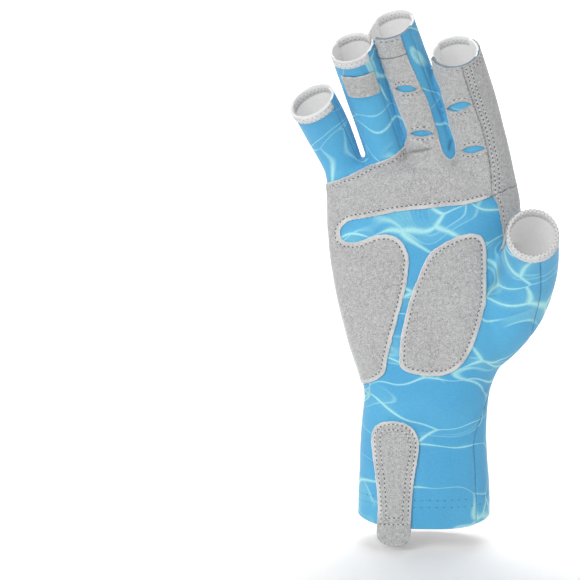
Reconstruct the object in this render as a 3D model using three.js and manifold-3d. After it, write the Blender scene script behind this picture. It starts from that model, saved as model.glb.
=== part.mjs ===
// A right-hand fingerless fishing glove in its worn shape. Units are millimetres.
// The fingers point up (+Z), the palm faces -Y and the thumb is towards +X.
// The origin is the centre of the wrist opening, in the plane of the cuff edge.
//
// The glove is sewn from two fabric panels, one for the palm side and one for the back,
// with a fourchette strip between each two fingers. Suede patches lie on the palm side,
// white tape is folded over the finger ends, and a suede tab at the cuff pulls it on.

import * as THREE from "three";
import { mergeVertices } from "three/addons/utils/BufferGeometryUtils.js";
import Module from "manifold-3d";

const wasm = await Module();
wasm.setup();

// Cloth, suede and tape.
const FABRIC_WALL = 1.0;
const SUEDE_THICKNESS = 0.9;
const TAB_THICKNESS = 1.4;
const TAPE_THICKNESS = 0.7;
const GAP = 0.3;

// Lengths along the arm and hand.
const CUFF_LENGTH = 65;
const PALM_LENGTH = 113;

// Widths and depths of the hand.
const CUFF_WIDTH = 62.4;
const CUFF_DEPTH = 42;
const WRIST_WIDTH = 58.8;
const WRIST_DEPTH = 39;
const PALM_WIDTH = 91.6;
const THENAR_DEPTH = 38;
const KNUCKLE_DEPTH = 30;
const PALM_HOLLOW = 3;

// Each digit's sleeve: its length from inside the hand to the lip, and its width at the lip.
const INDEX_LENGTH = 75;
const INDEX_WIDTH = 22.8;
const MIDDLE_LENGTH = 89;
const MIDDLE_WIDTH = 21.8;
const RING_LENGTH = 78;
const RING_WIDTH = 20.6;
const LITTLE_LENGTH = 49.5;
const LITTLE_WIDTH = 20.4;
const THUMB_LENGTH = 75.5;
const THUMB_WIDTH = 24.8;
const DIGIT_FLATNESS = 0.92;

// Sewing.
const FOURCHETTE_WIDTH = 11;
const HEM_HEIGHT = 4;
const THUMB_HEM_HEIGHT = 4.6;
const SLIT_WIDTH = 11.5;
const TAB_LENGTH = 60;
const TAB_OVERHANG = 10;
const TAB_HEAD_WIDTH = 21.6;
const TAB_FOOT_WIDTH = 15.6;
const TAB_SHIFT = -14.6;

// Fineness of the rings.
const HAND_SIDES = 26;
const DIGIT_SIDES = 12;
const HAND_ROWS = 11;
const DIGIT_ROWS = 5;
const SECTOR_STEPS = 6;
const FINENESS = 0.02;

// Joins and cuts reach this far past what they cut.
const REACH = 8;
const FAR = 200;

const radians = THREE.MathUtils.degToRad;

// A table's numeric columns as smooth functions of its first column.
function smoothTable(rows, key) {
  const columns = Object.keys(rows[0]).filter((name) => name !== key);
  const stations = rows.map((row) => row[key]);
  const values = rows.flatMap((row) => columns.map((name) => row[name]));
  const curve = new THREE.CubicInterpolant(stations, values, columns.length, new Float32Array(columns.length));
  return (station) => {
    const inside = THREE.MathUtils.clamp(station, stations[0], stations.at(-1));
    const found = curve.evaluate(inside);
    return Object.fromEntries(columns.map((name, i) => [name, found[i]]));
  };
}

// Sections of the hand from the cuff edge to the roots of the fingers.
// shift is towards the thumb, front and back are depths from the middle plane, hollow is the dip of the palm.
const palmHeight = (share) => CUFF_LENGTH + share * PALM_LENGTH;
const handSection = smoothTable(
  [
    {
      height: 0,
      shift: 0,
      width: CUFF_WIDTH,
      front: 0.5 * CUFF_DEPTH,
      back: 0.5 * CUFF_DEPTH,
      hollow: 0,
    },
    {
      height: 0.35 * CUFF_LENGTH,
      shift: -0.007 * PALM_WIDTH,
      width: 0.977 * CUFF_WIDTH,
      front: 0.485 * CUFF_DEPTH,
      back: 0.485 * CUFF_DEPTH,
      hollow: 0,
    },
    {
      height: 0.75 * CUFF_LENGTH,
      shift: -0.006 * PALM_WIDTH,
      width: WRIST_WIDTH,
      front: 0.5 * WRIST_DEPTH,
      back: 0.5 * WRIST_DEPTH,
      hollow: 0,
    },
    {
      height: CUFF_LENGTH,
      shift: 0.004 * PALM_WIDTH,
      width: 1.007 * WRIST_WIDTH,
      front: 0.49 * WRIST_DEPTH,
      back: 0.48 * WRIST_DEPTH,
      hollow: 0,
    },
    {
      height: palmHeight(0.08),
      shift: 0.014 * PALM_WIDTH,
      width: 0.715 * PALM_WIDTH,
      front: 0.51 * THENAR_DEPTH,
      back: 0.47 * THENAR_DEPTH,
      hollow: 0.3 * PALM_HOLLOW,
    },
    {
      height: palmHeight(0.17),
      shift: 0.024 * PALM_WIDTH,
      width: 0.82 * PALM_WIDTH,
      front: 0.55 * THENAR_DEPTH,
      back: 0.44 * THENAR_DEPTH,
      hollow: 0.8 * PALM_HOLLOW,
    },
    {
      height: palmHeight(0.3),
      shift: 0.019 * PALM_WIDTH,
      width: 0.906 * PALM_WIDTH,
      front: 0.55 * THENAR_DEPTH,
      back: 0.42 * THENAR_DEPTH,
      hollow: PALM_HOLLOW,
    },
    {
      height: palmHeight(0.5),
      shift: 0.001 * PALM_WIDTH,
      width: 0.972 * PALM_WIDTH,
      front: 0.61 * KNUCKLE_DEPTH,
      back: 0.5 * KNUCKLE_DEPTH,
      hollow: PALM_HOLLOW,
    },
    {
      height: palmHeight(0.7),
      shift: -0.013 * PALM_WIDTH,
      width: PALM_WIDTH,
      front: 0.55 * KNUCKLE_DEPTH,
      back: 0.48 * KNUCKLE_DEPTH,
      hollow: 0.7 * PALM_HOLLOW,
    },
    {
      height: palmHeight(0.87),
      shift: -0.028 * PALM_WIDTH,
      width: 0.983 * PALM_WIDTH,
      front: 0.48 * KNUCKLE_DEPTH,
      back: 0.45 * KNUCKLE_DEPTH,
      hollow: 0.2 * PALM_HOLLOW,
    },
    {
      height: palmHeight(0.95),
      shift: -0.05 * PALM_WIDTH,
      width: 0.955 * PALM_WIDTH,
      front: 0.38 * KNUCKLE_DEPTH,
      back: 0.37 * KNUCKLE_DEPTH,
      hollow: 0,
    },
    {
      height: palmHeight(0.985),
      shift: -0.06 * PALM_WIDTH,
      width: 0.9 * PALM_WIDTH,
      front: 0.2 * KNUCKLE_DEPTH,
      back: 0.2 * KNUCKLE_DEPTH,
      hollow: 0,
    },
  ],
  "height",
);
const HAND_TOP = palmHeight(0.985);
const HAND_SQUARENESS = 0.88;
const HOLLOW_SPREAD = 0.38;

// A ring of points grown outwards by a distance in its own plane.
function growRing(points, distance) {
  const count = points.length;
  return points.map((point, i) => {
    const before = points[(i + count - 1) % count];
    const after = points[(i + 1) % count];
    const outward = new THREE.Vector2(after.y - before.y, before.x - after.x).normalize();
    return point.clone().addScaledVector(outward, distance);
  });
}

// The hand's outline at one height, anticlockwise from above, grown by a distance.
function handRing(height, grow) {
  const s = handSection(height);
  const outline = [];
  for (let i = 0; i < HAND_SIDES; i += 1) {
    const angle = (2 * Math.PI * i) / HAND_SIDES;
    const across = Math.sign(Math.cos(angle)) * Math.abs(Math.cos(angle)) ** HAND_SQUARENESS;
    const through = Math.sign(Math.sin(angle)) * Math.abs(Math.sin(angle)) ** HAND_SQUARENESS;
    const dip = s.hollow * Math.exp(-((across / HOLLOW_SPREAD) ** 2));
    const y = through < 0 ? through * (s.front - dip) : through * s.back;
    outline.push(new THREE.Vector2(s.shift + (across * s.width) / 2, y));
  }
  return growRing(outline, grow).map((p) => new THREE.Vector3(p.x, p.y, height));
}

// A point of a patch's outline, in shares of half the palm's width and of the palm's length.
function palmPoint([across, along]) {
  return new THREE.Vector2((across * PALM_WIDTH) / 2, palmHeight(along));
}

// The digits. rootShift and rootHeight are where the sleeve starts inside the hand.
// Lean is towards the thumb, curl is towards the palm, and twist turns the palm side towards the little finger,
// each in degrees at the root and at the lip. widths are shares of the lip's width from the root to the lip.
const WIDTH_STATIONS = [0, 0.3, 0.6, 1];
const DIGITS = {
  index: {
    rootShift: 0.335,
    rootHeight: 0.85,
    length: INDEX_LENGTH,
    width: INDEX_WIDTH,
    widths: [1.12, 1.1, 1.06, 1],
    lean: [-13, -17],
    curl: [3, 42],
    twist: 20,
  },
  middle: {
    rootShift: 0.098,
    rootHeight: 0.85,
    length: MIDDLE_LENGTH,
    width: MIDDLE_WIDTH,
    widths: [1.08, 1.06, 1.03, 1],
    lean: [-16.5, -19.5],
    curl: [3, 37],
    twist: 20,
  },
  ring: {
    rootShift: -0.158,
    rootHeight: 0.85,
    length: RING_LENGTH,
    width: RING_WIDTH,
    widths: [1.08, 1.06, 1.02, 1],
    lean: [-15, -19],
    curl: [3, 42],
    twist: 18,
  },
  little: {
    rootShift: -0.372,
    rootHeight: 0.865,
    length: LITTLE_LENGTH,
    width: LITTLE_WIDTH,
    widths: [1.02, 1.04, 1.01, 1],
    lean: [-23, -29.5],
    curl: [3, 37],
    twist: 14,
  },
  thumb: {
    rootShift: 0.295,
    rootHeight: 0.186,
    length: THUMB_LENGTH,
    width: THUMB_WIDTH,
    widths: [1.12, 1.26, 1.2, 1],
    lean: [42, -2.5],
    curl: [5, 62],
    twist: 0,
  },
};
const THUMB_CURL_POWER = 1.3;
const ROUTE_STEPS = 24;

// Inside the hand each sleeve tapers down, so that it flares out of the hand without a step.
const ROOT_DEPTH = 12;
const ROOT_SHRINK = 0.55;

// The direction and the two cross axes of a digit at a share of its length.
function axesAt(digit, share) {
  const t = THREE.MathUtils.clamp(share, 0, 1);
  const bend = digit === DIGITS.thumb ? t ** THUMB_CURL_POWER : t;
  const lean = radians(THREE.MathUtils.lerp(digit.lean[0], digit.lean[1], t));
  const curl = radians(THREE.MathUtils.lerp(digit.curl[0], digit.curl[1], bend));
  const twist = radians(digit.twist * THREE.MathUtils.smoothstep(t, 0, 0.7));
  const along = new THREE.Vector3(
    Math.sin(lean) * Math.cos(curl),
    -Math.sin(curl),
    Math.cos(lean) * Math.cos(curl),
  );
  const side = new THREE.Vector3(Math.cos(lean), 0, -Math.sin(lean));
  const palmar = side.clone().cross(along);
  const turned = palmar.clone().multiplyScalar(Math.cos(twist)).addScaledVector(side, -Math.sin(twist));
  side.multiplyScalar(Math.cos(twist)).addScaledVector(palmar, Math.sin(twist));
  return { along, side, palmar: turned };
}

// A digit's centre, axes and half width at a distance from its root; past its ends it runs straight on.
function frameAt(digit, distance) {
  const centre = new THREE.Vector3(digit.rootShift * PALM_WIDTH, 0, palmHeight(digit.rootHeight));
  const step = distance / ROUTE_STEPS;
  for (let i = 0; i < ROUTE_STEPS; i += 1) {
    centre.addScaledVector(axesAt(digit, ((i + 0.5) * step) / digit.length).along, step);
  }
  const share = THREE.MathUtils.clamp(distance / digit.length, 0, 1);
  const curve = new THREE.CubicInterpolant(WIDTH_STATIONS, digit.widths, 1, new Float32Array(1));
  return { centre, half: (curve.evaluate(share)[0] * digit.width) / 2, ...axesAt(digit, share) };
}

// A point of a digit's frame at an angle from its palm side towards the thumb side.
function around(frame, angle, grow) {
  return frame.centre
    .clone()
    .addScaledVector(frame.side, Math.sin(angle) * (frame.half + grow))
    .addScaledVector(frame.palmar, Math.cos(angle) * (frame.half * DIGIT_FLATNESS + grow));
}

function digitRing(digit, distance, grow) {
  const frame = frameAt(digit, distance);
  if (distance < 0) {
    frame.half *= ROOT_SHRINK;
  }
  return Array.from({ length: DIGIT_SIDES }, (_, i) => around(frame, (2 * Math.PI * i) / DIGIT_SIDES, grow));
}

// A solid through rings of points; hub is the ring point that the end faces fan from, or the ring's middle.
function loft(rings, hub = "middle") {
  const count = rings[0].length;
  const positions = rings.flat().flatMap((p) => [p.x, p.y, p.z]);
  const faces = [];
  for (let row = 0; row + 1 < rings.length; row += 1) {
    for (let i = 0; i < count; i += 1) {
      const next = (i + 1) % count;
      const a = row * count + i;
      const b = row * count + next;
      faces.push(a, b, b + count, a, b + count, a + count);
    }
  }
  const last = (rings.length - 1) * count;
  if (hub === "middle") {
    for (const ring of [rings[0], rings.at(-1)]) {
      const middle = ring.reduce((sum, p) => sum.add(p), new THREE.Vector3()).divideScalar(count);
      positions.push(middle.x, middle.y, middle.z);
    }
    const bottom = rings.length * count;
    for (let i = 0; i < count; i += 1) {
      const next = (i + 1) % count;
      faces.push(bottom, next, i, bottom + 1, last + i, last + next);
    }
  } else {
    for (let i = 1; i + 1 < count; i += 1) {
      faces.push(0, i + 1, i, last, last + i, last + i + 1);
    }
  }
  const mesh = new wasm.Mesh({
    numProp: 3,
    vertProperties: new Float32Array(positions),
    triVerts: new Uint32Array(faces),
  });
  return new wasm.Manifold(mesh);
}

// A closed three.js geometry as a solid.
function solidOf(geometry) {
  const bare = geometry.clone();
  bare.deleteAttribute("normal");
  bare.deleteAttribute("uv");
  const merged = mergeVertices(bare, 1e-3);
  const mesh = new wasm.Mesh({
    numProp: 3,
    vertProperties: merged.attributes.position.array,
    triVerts: new Uint32Array(merged.index.array),
  });
  return new wasm.Manifold(mesh);
}

function joined(solids) {
  return solids.reduce((sum, solid) => sum.add(solid));
}

// The stretch of a digit between two distances from its root.
function digitTube(digit, from, to, grow, rows) {
  const rings = [];
  for (let row = 0; row <= rows; row += 1) {
    rings.push(digitRing(digit, THREE.MathUtils.lerp(from, to, row / rows), grow));
  }
  return loft(rings);
}

// A digit's whole sleeve, grown by a distance and run on past its lip.
function sleeve(digit, grow, past) {
  const rings = [digitRing(digit, -ROOT_DEPTH, grow)];
  for (let row = 0; row <= DIGIT_ROWS; row += 1) {
    rings.push(digitRing(digit, (digit.length * row) / DIGIT_ROWS, grow));
  }
  if (past > 0) {
    rings.push(digitRing(digit, digit.length + past, grow));
  }
  return loft(rings);
}

// The whole glove form, grown by a distance, with the cuff and the digits run on past their ends.
function gloveForm(grow, pastCuff, pastDigits) {
  const rings = pastCuff > 0 ? [handRing(0, grow).map((p) => p.setZ(-pastCuff))] : [];
  for (let row = 0; row <= HAND_ROWS; row += 1) {
    rings.push(handRing((HAND_TOP * row) / HAND_ROWS, grow));
  }
  const digits = Object.values(DIGITS).map((digit) => sleeve(digit, grow, pastDigits));
  return joined([loft(rings), ...digits]);
}

// The part of space round a digit between two angles and two distances. The angles may change with the share.
function sector(digit, fromAngle, toAngle, from, to, reach = REACH, widen = 0) {
  const rings = [];
  for (let row = 0; row <= DIGIT_ROWS; row += 1) {
    const distance = THREE.MathUtils.lerp(from, to, row / DIGIT_ROWS);
    const frame = frameAt(digit, distance);
    const share = distance / digit.length;
    const extra = widen / frame.half;
    const start = radians(typeof fromAngle === "function" ? fromAngle(share) : fromAngle) - extra;
    const end = radians(typeof toAngle === "function" ? toAngle(share) : toAngle) + extra;
    const ring = [frame.centre.clone()];
    for (let i = 0; i <= SECTOR_STEPS; i += 1) {
      ring.push(around(frame, THREE.MathUtils.lerp(start, end, i / SECTOR_STEPS), reach));
    }
    rings.push(ring);
  }
  return loft(rings, "first");
}

// A flat outline of [x, z] points, cut through from one depth to another.
function cutOut(shape, fromY, toY) {
  const geometry = new THREE.ExtrudeGeometry(shape, { depth: toY - fromY, bevelEnabled: false, curveSegments: 2 });
  geometry.rotateX(Math.PI / 2);
  geometry.translate(0, toY, 0);
  return solidOf(geometry);
}

// A shape through straight corners, and through smooth stretches given as inner lists.
function outline(stretches) {
  const shape = new THREE.Shape();
  shape.moveTo(stretches[0].x, stretches[0].y);
  for (const stretch of stretches.slice(1)) {
    if (Array.isArray(stretch)) {
      shape.splineThru(stretch);
    } else {
      shape.lineTo(stretch.x, stretch.y);
    }
  }
  return shape;
}

// A digit's seam or edge: its angle, in degrees from the palm side towards the thumb side, along the digit.
function edgeAlong(rows) {
  const curve = smoothTable(rows, "share");
  return (share) => curve(share).angle;
}

const middleStripRight = edgeAlong([
  { share: 0, angle: 38 },
  { share: 0.35, angle: 40 },
  { share: 0.65, angle: 49 },
  { share: 1, angle: 57 },
]);
const middleStripLeft = (share) => -middleStripRight(share);
const indexSeam = edgeAlong([
  { share: 0, angle: 8 },
  { share: 0.16, angle: 12 },
  { share: 0.35, angle: 22 },
  { share: 0.6, angle: 29 },
  { share: 1, angle: 29 },
]);
const thumbSeam = edgeAlong([
  { share: 0, angle: 95 },
  { share: 0.15, angle: 86 },
  { share: 0.35, angle: 52 },
  { share: 0.6, angle: 34 },
  { share: 1, angle: 8 },
]);
const INDEX_STRIP_ANGLE = -56;
const INDEX_BACK_ANGLE = 146;
const RING_PATCH_ARC = [-36, 58];
const CROTCH_ARC = [-150, -62];
const THUMB_PANEL_ANGLE = -104;
const THUMB_PANEL_START = 0.12;

// The space that belongs to the palm panel. Its edge moves out by grow.
// On the cuff the closing seam lies on the palm side; above it, it runs up the thumb side of the hand.
const CUFF_SEAM = 0.51;
function palmSpace(grow) {
  const seamX = (CUFF_SEAM * PALM_WIDTH) / 2 + grow;
  const hand = cutOut(
    outline([
      new THREE.Vector2(-FAR, -REACH),
      new THREE.Vector2(seamX, -REACH),
      new THREE.Vector2(seamX, 0.6 * CUFF_LENGTH),
      new THREE.Vector2(WRIST_WIDTH / 2 + REACH, CUFF_LENGTH),
      new THREE.Vector2(FAR, CUFF_LENGTH + REACH),
      new THREE.Vector2(FAR, HAND_TOP),
      new THREE.Vector2(-FAR, HAND_TOP),
    ]),
    -FAR,
    grow,
  );
  const { thumb, ...fingers } = DIGITS;
  const thumbStart = THUMB_PANEL_START * thumb.length;
  const thumbEnd = thumb.length + REACH;
  const aroundThumb = digitTube(thumb, thumbStart, thumbEnd, REACH / 2, DIGIT_ROWS);
  const thumbFront = sector(thumb, THUMB_PANEL_ANGLE, thumbSeam, thumbStart, thumbEnd, REACH / 2, grow);
  const fingerFronts = Object.values(fingers).map((digit) =>
    sector(digit, -90, 90, 0, digit.length + REACH, REACH / 2, grow),
  );
  return joined([hand.subtract(aroundThumb), thumbFront, ...fingerFronts]);
}

// The fourchettes lie between neighbouring fingers, from just under the crotch to the lips.
const FOURCHETTES = [
  { name: "fourchette_index_middle", thumbSide: DIGITS.index, littleSide: DIGITS.middle },
  { name: "fourchette_middle_ring", thumbSide: DIGITS.middle, littleSide: DIGITS.ring },
  { name: "fourchette_ring_little", thumbSide: DIGITS.ring, littleSide: DIGITS.little },
];
const FOURCHETTE_START = 2;
const fourchetteSpread = (digit) => THREE.MathUtils.radToDeg(FOURCHETTE_WIDTH / digit.width);

function fourchetteSpace({ thumbSide, littleSide }, grow) {
  const halves = [
    { digit: thumbSide, middle: -90 },
    { digit: littleSide, middle: 90 },
  ].map(({ digit, middle }) => {
    const spread = fourchetteSpread(digit);
    const from = FOURCHETTE_START - grow;
    return sector(digit, middle - spread, middle + spread, from, digit.length + REACH, REACH / 2 + grow, grow);
  });
  return joined(halves);
}

const meshes = [];
const COLOURS = { fabric: 0x5aaee0, suede: 0xb9b9b9, tape: 0xe4e2e2 };

function geometryOf(solid) {
  const { vertProperties, triVerts } = solid.getMesh();
  const geometry = new THREE.BufferGeometry();
  geometry.setAttribute("position", new THREE.BufferAttribute(vertProperties, 3));
  geometry.setIndex(new THREE.BufferAttribute(triVerts, 1));
  return geometry;
}

// A cut can leave crumbs or slivers beside a piece, so only its largest body is kept.
function largestBody(solid) {
  const bodies = solid.simplify(FINENESS).decompose();
  return bodies.reduce((best, body) => (body.volume() > best.volume() ? body : best));
}

function addPiece(name, solid, material) {
  const body = largestBody(solidOf(geometryOf(largestBody(solid))));
  const geometry = geometryOf(body);
  geometry.computeVertexNormals();
  const piece = new THREE.Mesh(
    geometry,
    new THREE.MeshStandardMaterial({ color: COLOURS[material], roughness: 0.85, metalness: 0 }),
  );
  piece.name = name;
  meshes.push(piece);
}

// The fabric shell: palm panel, back panel and the fourchettes.
const shell = gloveForm(0, 0, 0).subtract(gloveForm(-FABRIC_WALL, REACH, REACH));
const panels = shell.subtract(joined(FOURCHETTES.map((place) => fourchetteSpace(place, GAP))));
addPiece("palm_panel", panels.intersect(palmSpace(-GAP / 2)), "fabric");
addPiece("back_panel", panels.subtract(palmSpace(GAP / 2)), "fabric");
for (const place of FOURCHETTES) {
  addPiece(place.name, shell.intersect(fourchetteSpace(place, 0)), "fabric");
}

// A layer of suede on the outside of the fabric.
function layer(thickness, pastCuff) {
  return gloveForm(GAP + thickness, pastCuff, 0).subtract(gloveForm(GAP, pastCuff + 1, 1));
}
const suedeLayer = layer(SUEDE_THICKNESS, 0);

// The suede across the palm and down its outer edge.
const palmPatchShape = outline([
  palmPoint([-1.4, 0.032]),
  palmPoint([-1.4, 0.878]),
  palmPoint([-1.04, 0.878]),
  [
    [-0.84, 0.903],
    [-0.68, 0.928],
    [-0.51, 0.962],
    [-0.37, 0.988],
    [-0.29, 1.012],
  ].map(palmPoint),
  palmPoint([0.18, 1.012]),
  [
    [0.21, 0.99],
    [0.26, 0.977],
    [0.3, 0.99],
    [0.33, 1.012],
  ].map(palmPoint),
  palmPoint([0.62, 1.012]),
  palmPoint([0.625, 0.95]),
  [
    [0.685, 0.93],
    [0.69, 0.88],
    [0.695, 0.818],
  ].map(palmPoint),
  [
    [0.58, 0.801],
    [0.26, 0.78],
    [-0.15, 0.763],
    [-0.47, 0.742],
    [-0.77, 0.72],
    [-0.87, 0.69],
    [-0.885, 0.65],
    [-0.77, 0.625],
    [-0.59, 0.643],
    [-0.41, 0.659],
    [-0.28, 0.64],
    [-0.18, 0.576],
    [-0.18, 0.499],
    [-0.22, 0.398],
    [-0.31, 0.274],
    [-0.39, 0.138],
    [-0.41, 0.08],
    [-0.5, 0.046],
    [-0.66, 0.03],
  ].map(palmPoint),
]);

// Where the suede strips on the fingers start, and where their slits are, as distances from the lip.
const STRIP_START = 12;
const MIDDLE_TIP_LENGTH = 10.5;
const SLITS = [
  { digit: DIGITS.middle, fromLip: 27, angle: 0, height: 2.6 },
  { digit: DIGITS.middle, fromLip: 51, angle: 0, height: 2.6 },
  { digit: DIGITS.index, fromLip: 22, angle: -12, height: 3.8 },
  { digit: DIGITS.index, fromLip: 44, angle: -14, height: 3 },
];

// A pointed slit across the palm side of a finger.
function slit({ digit, fromLip, angle, height }) {
  const frame = frameAt(digit, digit.length - fromLip);
  const shape = new THREE.Shape();
  shape.moveTo(-SLIT_WIDTH / 2, 0);
  shape.quadraticCurveTo(0, height, SLIT_WIDTH / 2, 0);
  shape.quadraticCurveTo(0, -height, -SLIT_WIDTH / 2, 0);
  const geometry = new THREE.ExtrudeGeometry(shape, { depth: REACH, bevelEnabled: false, curveSegments: 4 });
  const turn = radians(angle);
  const out = frame.palmar.clone().multiplyScalar(Math.cos(turn)).addScaledVector(frame.side, Math.sin(turn));
  const across = frame.along.clone().cross(out);
  const place = new THREE.Matrix4().makeBasis(across, frame.along, out);
  place.setPosition(frame.centre.clone().addScaledVector(out, frame.half - REACH / 2));
  geometry.applyMatrix4(place);
  return solidOf(geometry);
}

// A strip of suede along a digit between two edges, drawn in by half a gap on each side.
const STRIP_REACH = 2.5;
function strip(digit, fromEdge, toEdge, from, to) {
  return sector(digit, fromEdge, toEdge, from, to, STRIP_REACH, -GAP / 2);
}

const middleTipStart = MIDDLE_LENGTH - MIDDLE_TIP_LENGTH;
const palmPatch = joined([
  cutOut(palmPatchShape, -FAR, 0),
  strip(DIGITS.middle, middleStripLeft, middleStripRight, STRIP_START, middleTipStart - GAP),
  strip(DIGITS.index, INDEX_STRIP_ANGLE, indexSeam, STRIP_START, INDEX_LENGTH + 1),
]);
addPiece("palm_patch", suedeLayer.intersect(palmPatch).subtract(joined(SLITS.map(slit))), "suede");
addPiece(
  "middle_tip_patch",
  suedeLayer.intersect(
    strip(DIGITS.middle, middleStripLeft, middleStripRight, middleTipStart, MIDDLE_LENGTH + 1),
  ),
  "suede",
);

// The small patch on the ring finger.
const RING_PATCH_FROM_LIP = 7;
const RING_PATCH_HEIGHT = 13;
const ringPatchTop = RING_LENGTH - RING_PATCH_FROM_LIP;
addPiece(
  "ring_patch",
  suedeLayer.intersect(strip(DIGITS.ring, ...RING_PATCH_ARC, ringPatchTop - RING_PATCH_HEIGHT, ringPatchTop)),
  "suede",
);

// The pad at the base of the thumb.
const thenarShape = outline([
  palmPoint([-0.27, 0.104]),
  [
    [-0.26, 0.168],
    [-0.22, 0.296],
    [-0.13, 0.423],
    [0, 0.542],
    [0.16, 0.614],
    [0.39, 0.657],
    [0.54, 0.662],
    [0.62, 0.631],
    [0.64, 0.56],
    [0.64, 0.4],
    [0.57, 0.274],
    [0.48, 0.172],
    [0.33, 0.087],
    [0.1, 0.058],
    [-0.1, 0.062],
    [-0.24, 0.082],
    [-0.27, 0.104],
  ].map(palmPoint),
]);
addPiece("thenar_patch", suedeLayer.intersect(cutOut(thenarShape, -FAR, 0)), "suede");

// The index finger's side strip, and under it the piece round the crotch of the thumb.
// On the back both end in one seam; on the palm side a cross seam parts them.
const CROSS_SEAM = { inner: [0.7, 0.822], outer: [1.0, 0.882] };
const backSeam = [
  [0.68, 0.93],
  [0.62, 0.8],
  [0.6, 0.66],
  [0.62, 0.57],
  [0.72, 0.47],
  [0.86, 0.425],
  [1.05, 0.44],
  [1.3, 0.52],
];
const sideStripFront = outline([
  palmPoint(CROSS_SEAM.inner),
  [
    [0.705, 0.88],
    [0.71, 0.954],
    [0.71, 1.012],
  ].map(palmPoint),
  palmPoint([1.4, 1.012]),
  palmPoint([1.4, 0.96]),
  palmPoint(CROSS_SEAM.outer),
]);
const crossSeamBack = CROSS_SEAM.outer[1];
const sideStripBack = outline([
  palmPoint([0.62, crossSeamBack]),
  palmPoint([0.66, 1.012]),
  palmPoint([1.4, 1.012]),
  palmPoint([1.4, crossSeamBack]),
]);
const indexSide = joined([
  strip(DIGITS.index, indexSeam, INDEX_BACK_ANGLE, STRIP_START, INDEX_LENGTH + 1),
  cutOut(sideStripFront, -FAR, 0),
  cutOut(sideStripBack, 0, FAR),
]);
addPiece("index_side_strip", suedeLayer.intersect(indexSide), "suede");

const crotchFront = outline([
  palmPoint([0.715, 0.816]),
  palmPoint([1.0, 0.875]),
  palmPoint([1.4, 0.95]),
  palmPoint([1.4, 0.5]),
  palmPoint([0.9, 0.53]),
  [
    [0.835, 0.585],
    [0.82, 0.648],
    [0.8, 0.7],
    [0.76, 0.775],
    [0.715, 0.816],
  ].map(palmPoint),
]);
const crotchBack = outline([
  palmPoint([0.62, crossSeamBack - 0.004]),
  [
    [0.6, 0.76],
    [0.59, 0.66],
    [0.62, 0.57],
    [0.72, 0.47],
    [0.86, 0.425],
    [1.05, 0.44],
  ].map(palmPoint),
  palmPoint([1.4, 0.55]),
  palmPoint([1.4, crossSeamBack - 0.004]),
]);
const palmSide = outline([
  palmPoint([-1.4, 0]),
  palmPoint([0.83, 0]),
  palmPoint([0.83, 0.6]),
  palmPoint([0.7, 0.814]),
  palmPoint([-1.4, 0.814]),
]);
const thumbCut = DIGITS.thumb.length - THUMB_HEM_HEIGHT - GAP;
const CROTCH_ON_THUMB_START = 13;
const crotch = joined([
  joined([cutOut(crotchFront, -FAR, 0), cutOut(crotchBack, 0, FAR)]).subtract(
    digitTube(DIGITS.thumb, CROTCH_ON_THUMB_START, DIGITS.thumb.length + REACH, REACH / 2, DIGIT_ROWS),
  ),
  sector(DIGITS.thumb, ...CROTCH_ARC, CROTCH_ON_THUMB_START, thumbCut, REACH / 2),
]);
addPiece("crotch_patch", suedeLayer.intersect(crotch).subtract(cutOut(palmSide, -FAR, 0)), "suede");

// The pull tab: a head on the cuff that narrows to a foot past the cuff edge.
const tabPoint = ([across, along]) => {
  const width = THREE.MathUtils.lerp(TAB_FOOT_WIDTH, TAB_HEAD_WIDTH, THREE.MathUtils.smoothstep(along, 0.15, 0.85));
  return new THREE.Vector2(TAB_SHIFT + (across * width) / 2, along * TAB_LENGTH - TAB_OVERHANG);
};
const tabSide = [
  [0.95, 0.04],
  [1, 0.1],
  [1, 0.3],
  [1, 0.55],
  [1, 0.84],
  [0.92, 0.93],
  [0.6, 0.985],
  [0, 1],
];
const tabOtherSide = tabSide.map(([across, along]) => [-across, along]).reverse();
const tabShape = outline([
  tabPoint([0.6, 0.002]),
  tabPoint(tabSide[0]),
  tabSide.slice(1).map(tabPoint),
  tabOtherSide.slice(1).map(tabPoint),
  tabPoint([-0.6, 0.002]),
]);
addPiece("pull_tab", layer(TAB_THICKNESS, TAB_OVERHANG + 2).intersect(cutOut(tabShape, -FAR, 0)), "suede");

// White tape folded over a digit's lip, all round it or between two angles.
function hem(digit, height, arc) {
  const lip = digit.length;
  const outside = GAP + TAPE_THICKNESS;
  const fold = sleeve(digit, outside, outside).subtract(sleeve(digit, -FABRIC_WALL - outside, outside + 1));
  const room = sleeve(digit, GAP, GAP).subtract(sleeve(digit, -FABRIC_WALL - GAP, GAP + 1));
  const [from, to] = [lip - height, lip + REACH];
  const place = arc ? sector(digit, arc[0], arc[1], from, to) : digitTube(digit, from, to, REACH, 2);
  return fold.subtract(room).intersect(place);
}

const clearOf = (digit) => fourchetteSpread(digit) + 1.5;
const { index, middle, ring, little, thumb } = DIGITS;
addPiece("hem_index", hem(index, HEM_HEIGHT, [INDEX_BACK_ANGLE + 3, 270 - clearOf(index)]), "tape");
addPiece("hem_middle", hem(middle, HEM_HEIGHT, [90 + clearOf(middle), 270 - clearOf(middle)]), "tape");
addPiece("hem_ring_palm", hem(ring, HEM_HEIGHT, [clearOf(ring) - 90, 90 - clearOf(ring)]), "tape");
addPiece("hem_ring_back", hem(ring, HEM_HEIGHT, [90 + clearOf(ring), 270 - clearOf(ring)]), "tape");
addPiece("hem_little", hem(little, HEM_HEIGHT, [90 + clearOf(little), 450 - clearOf(little)]), "tape");
addPiece("hem_thumb", hem(thumb, THUMB_HEM_HEIGHT), "tape");

const glove = new THREE.Group();
glove.add(...meshes);
export default glove;
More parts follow.
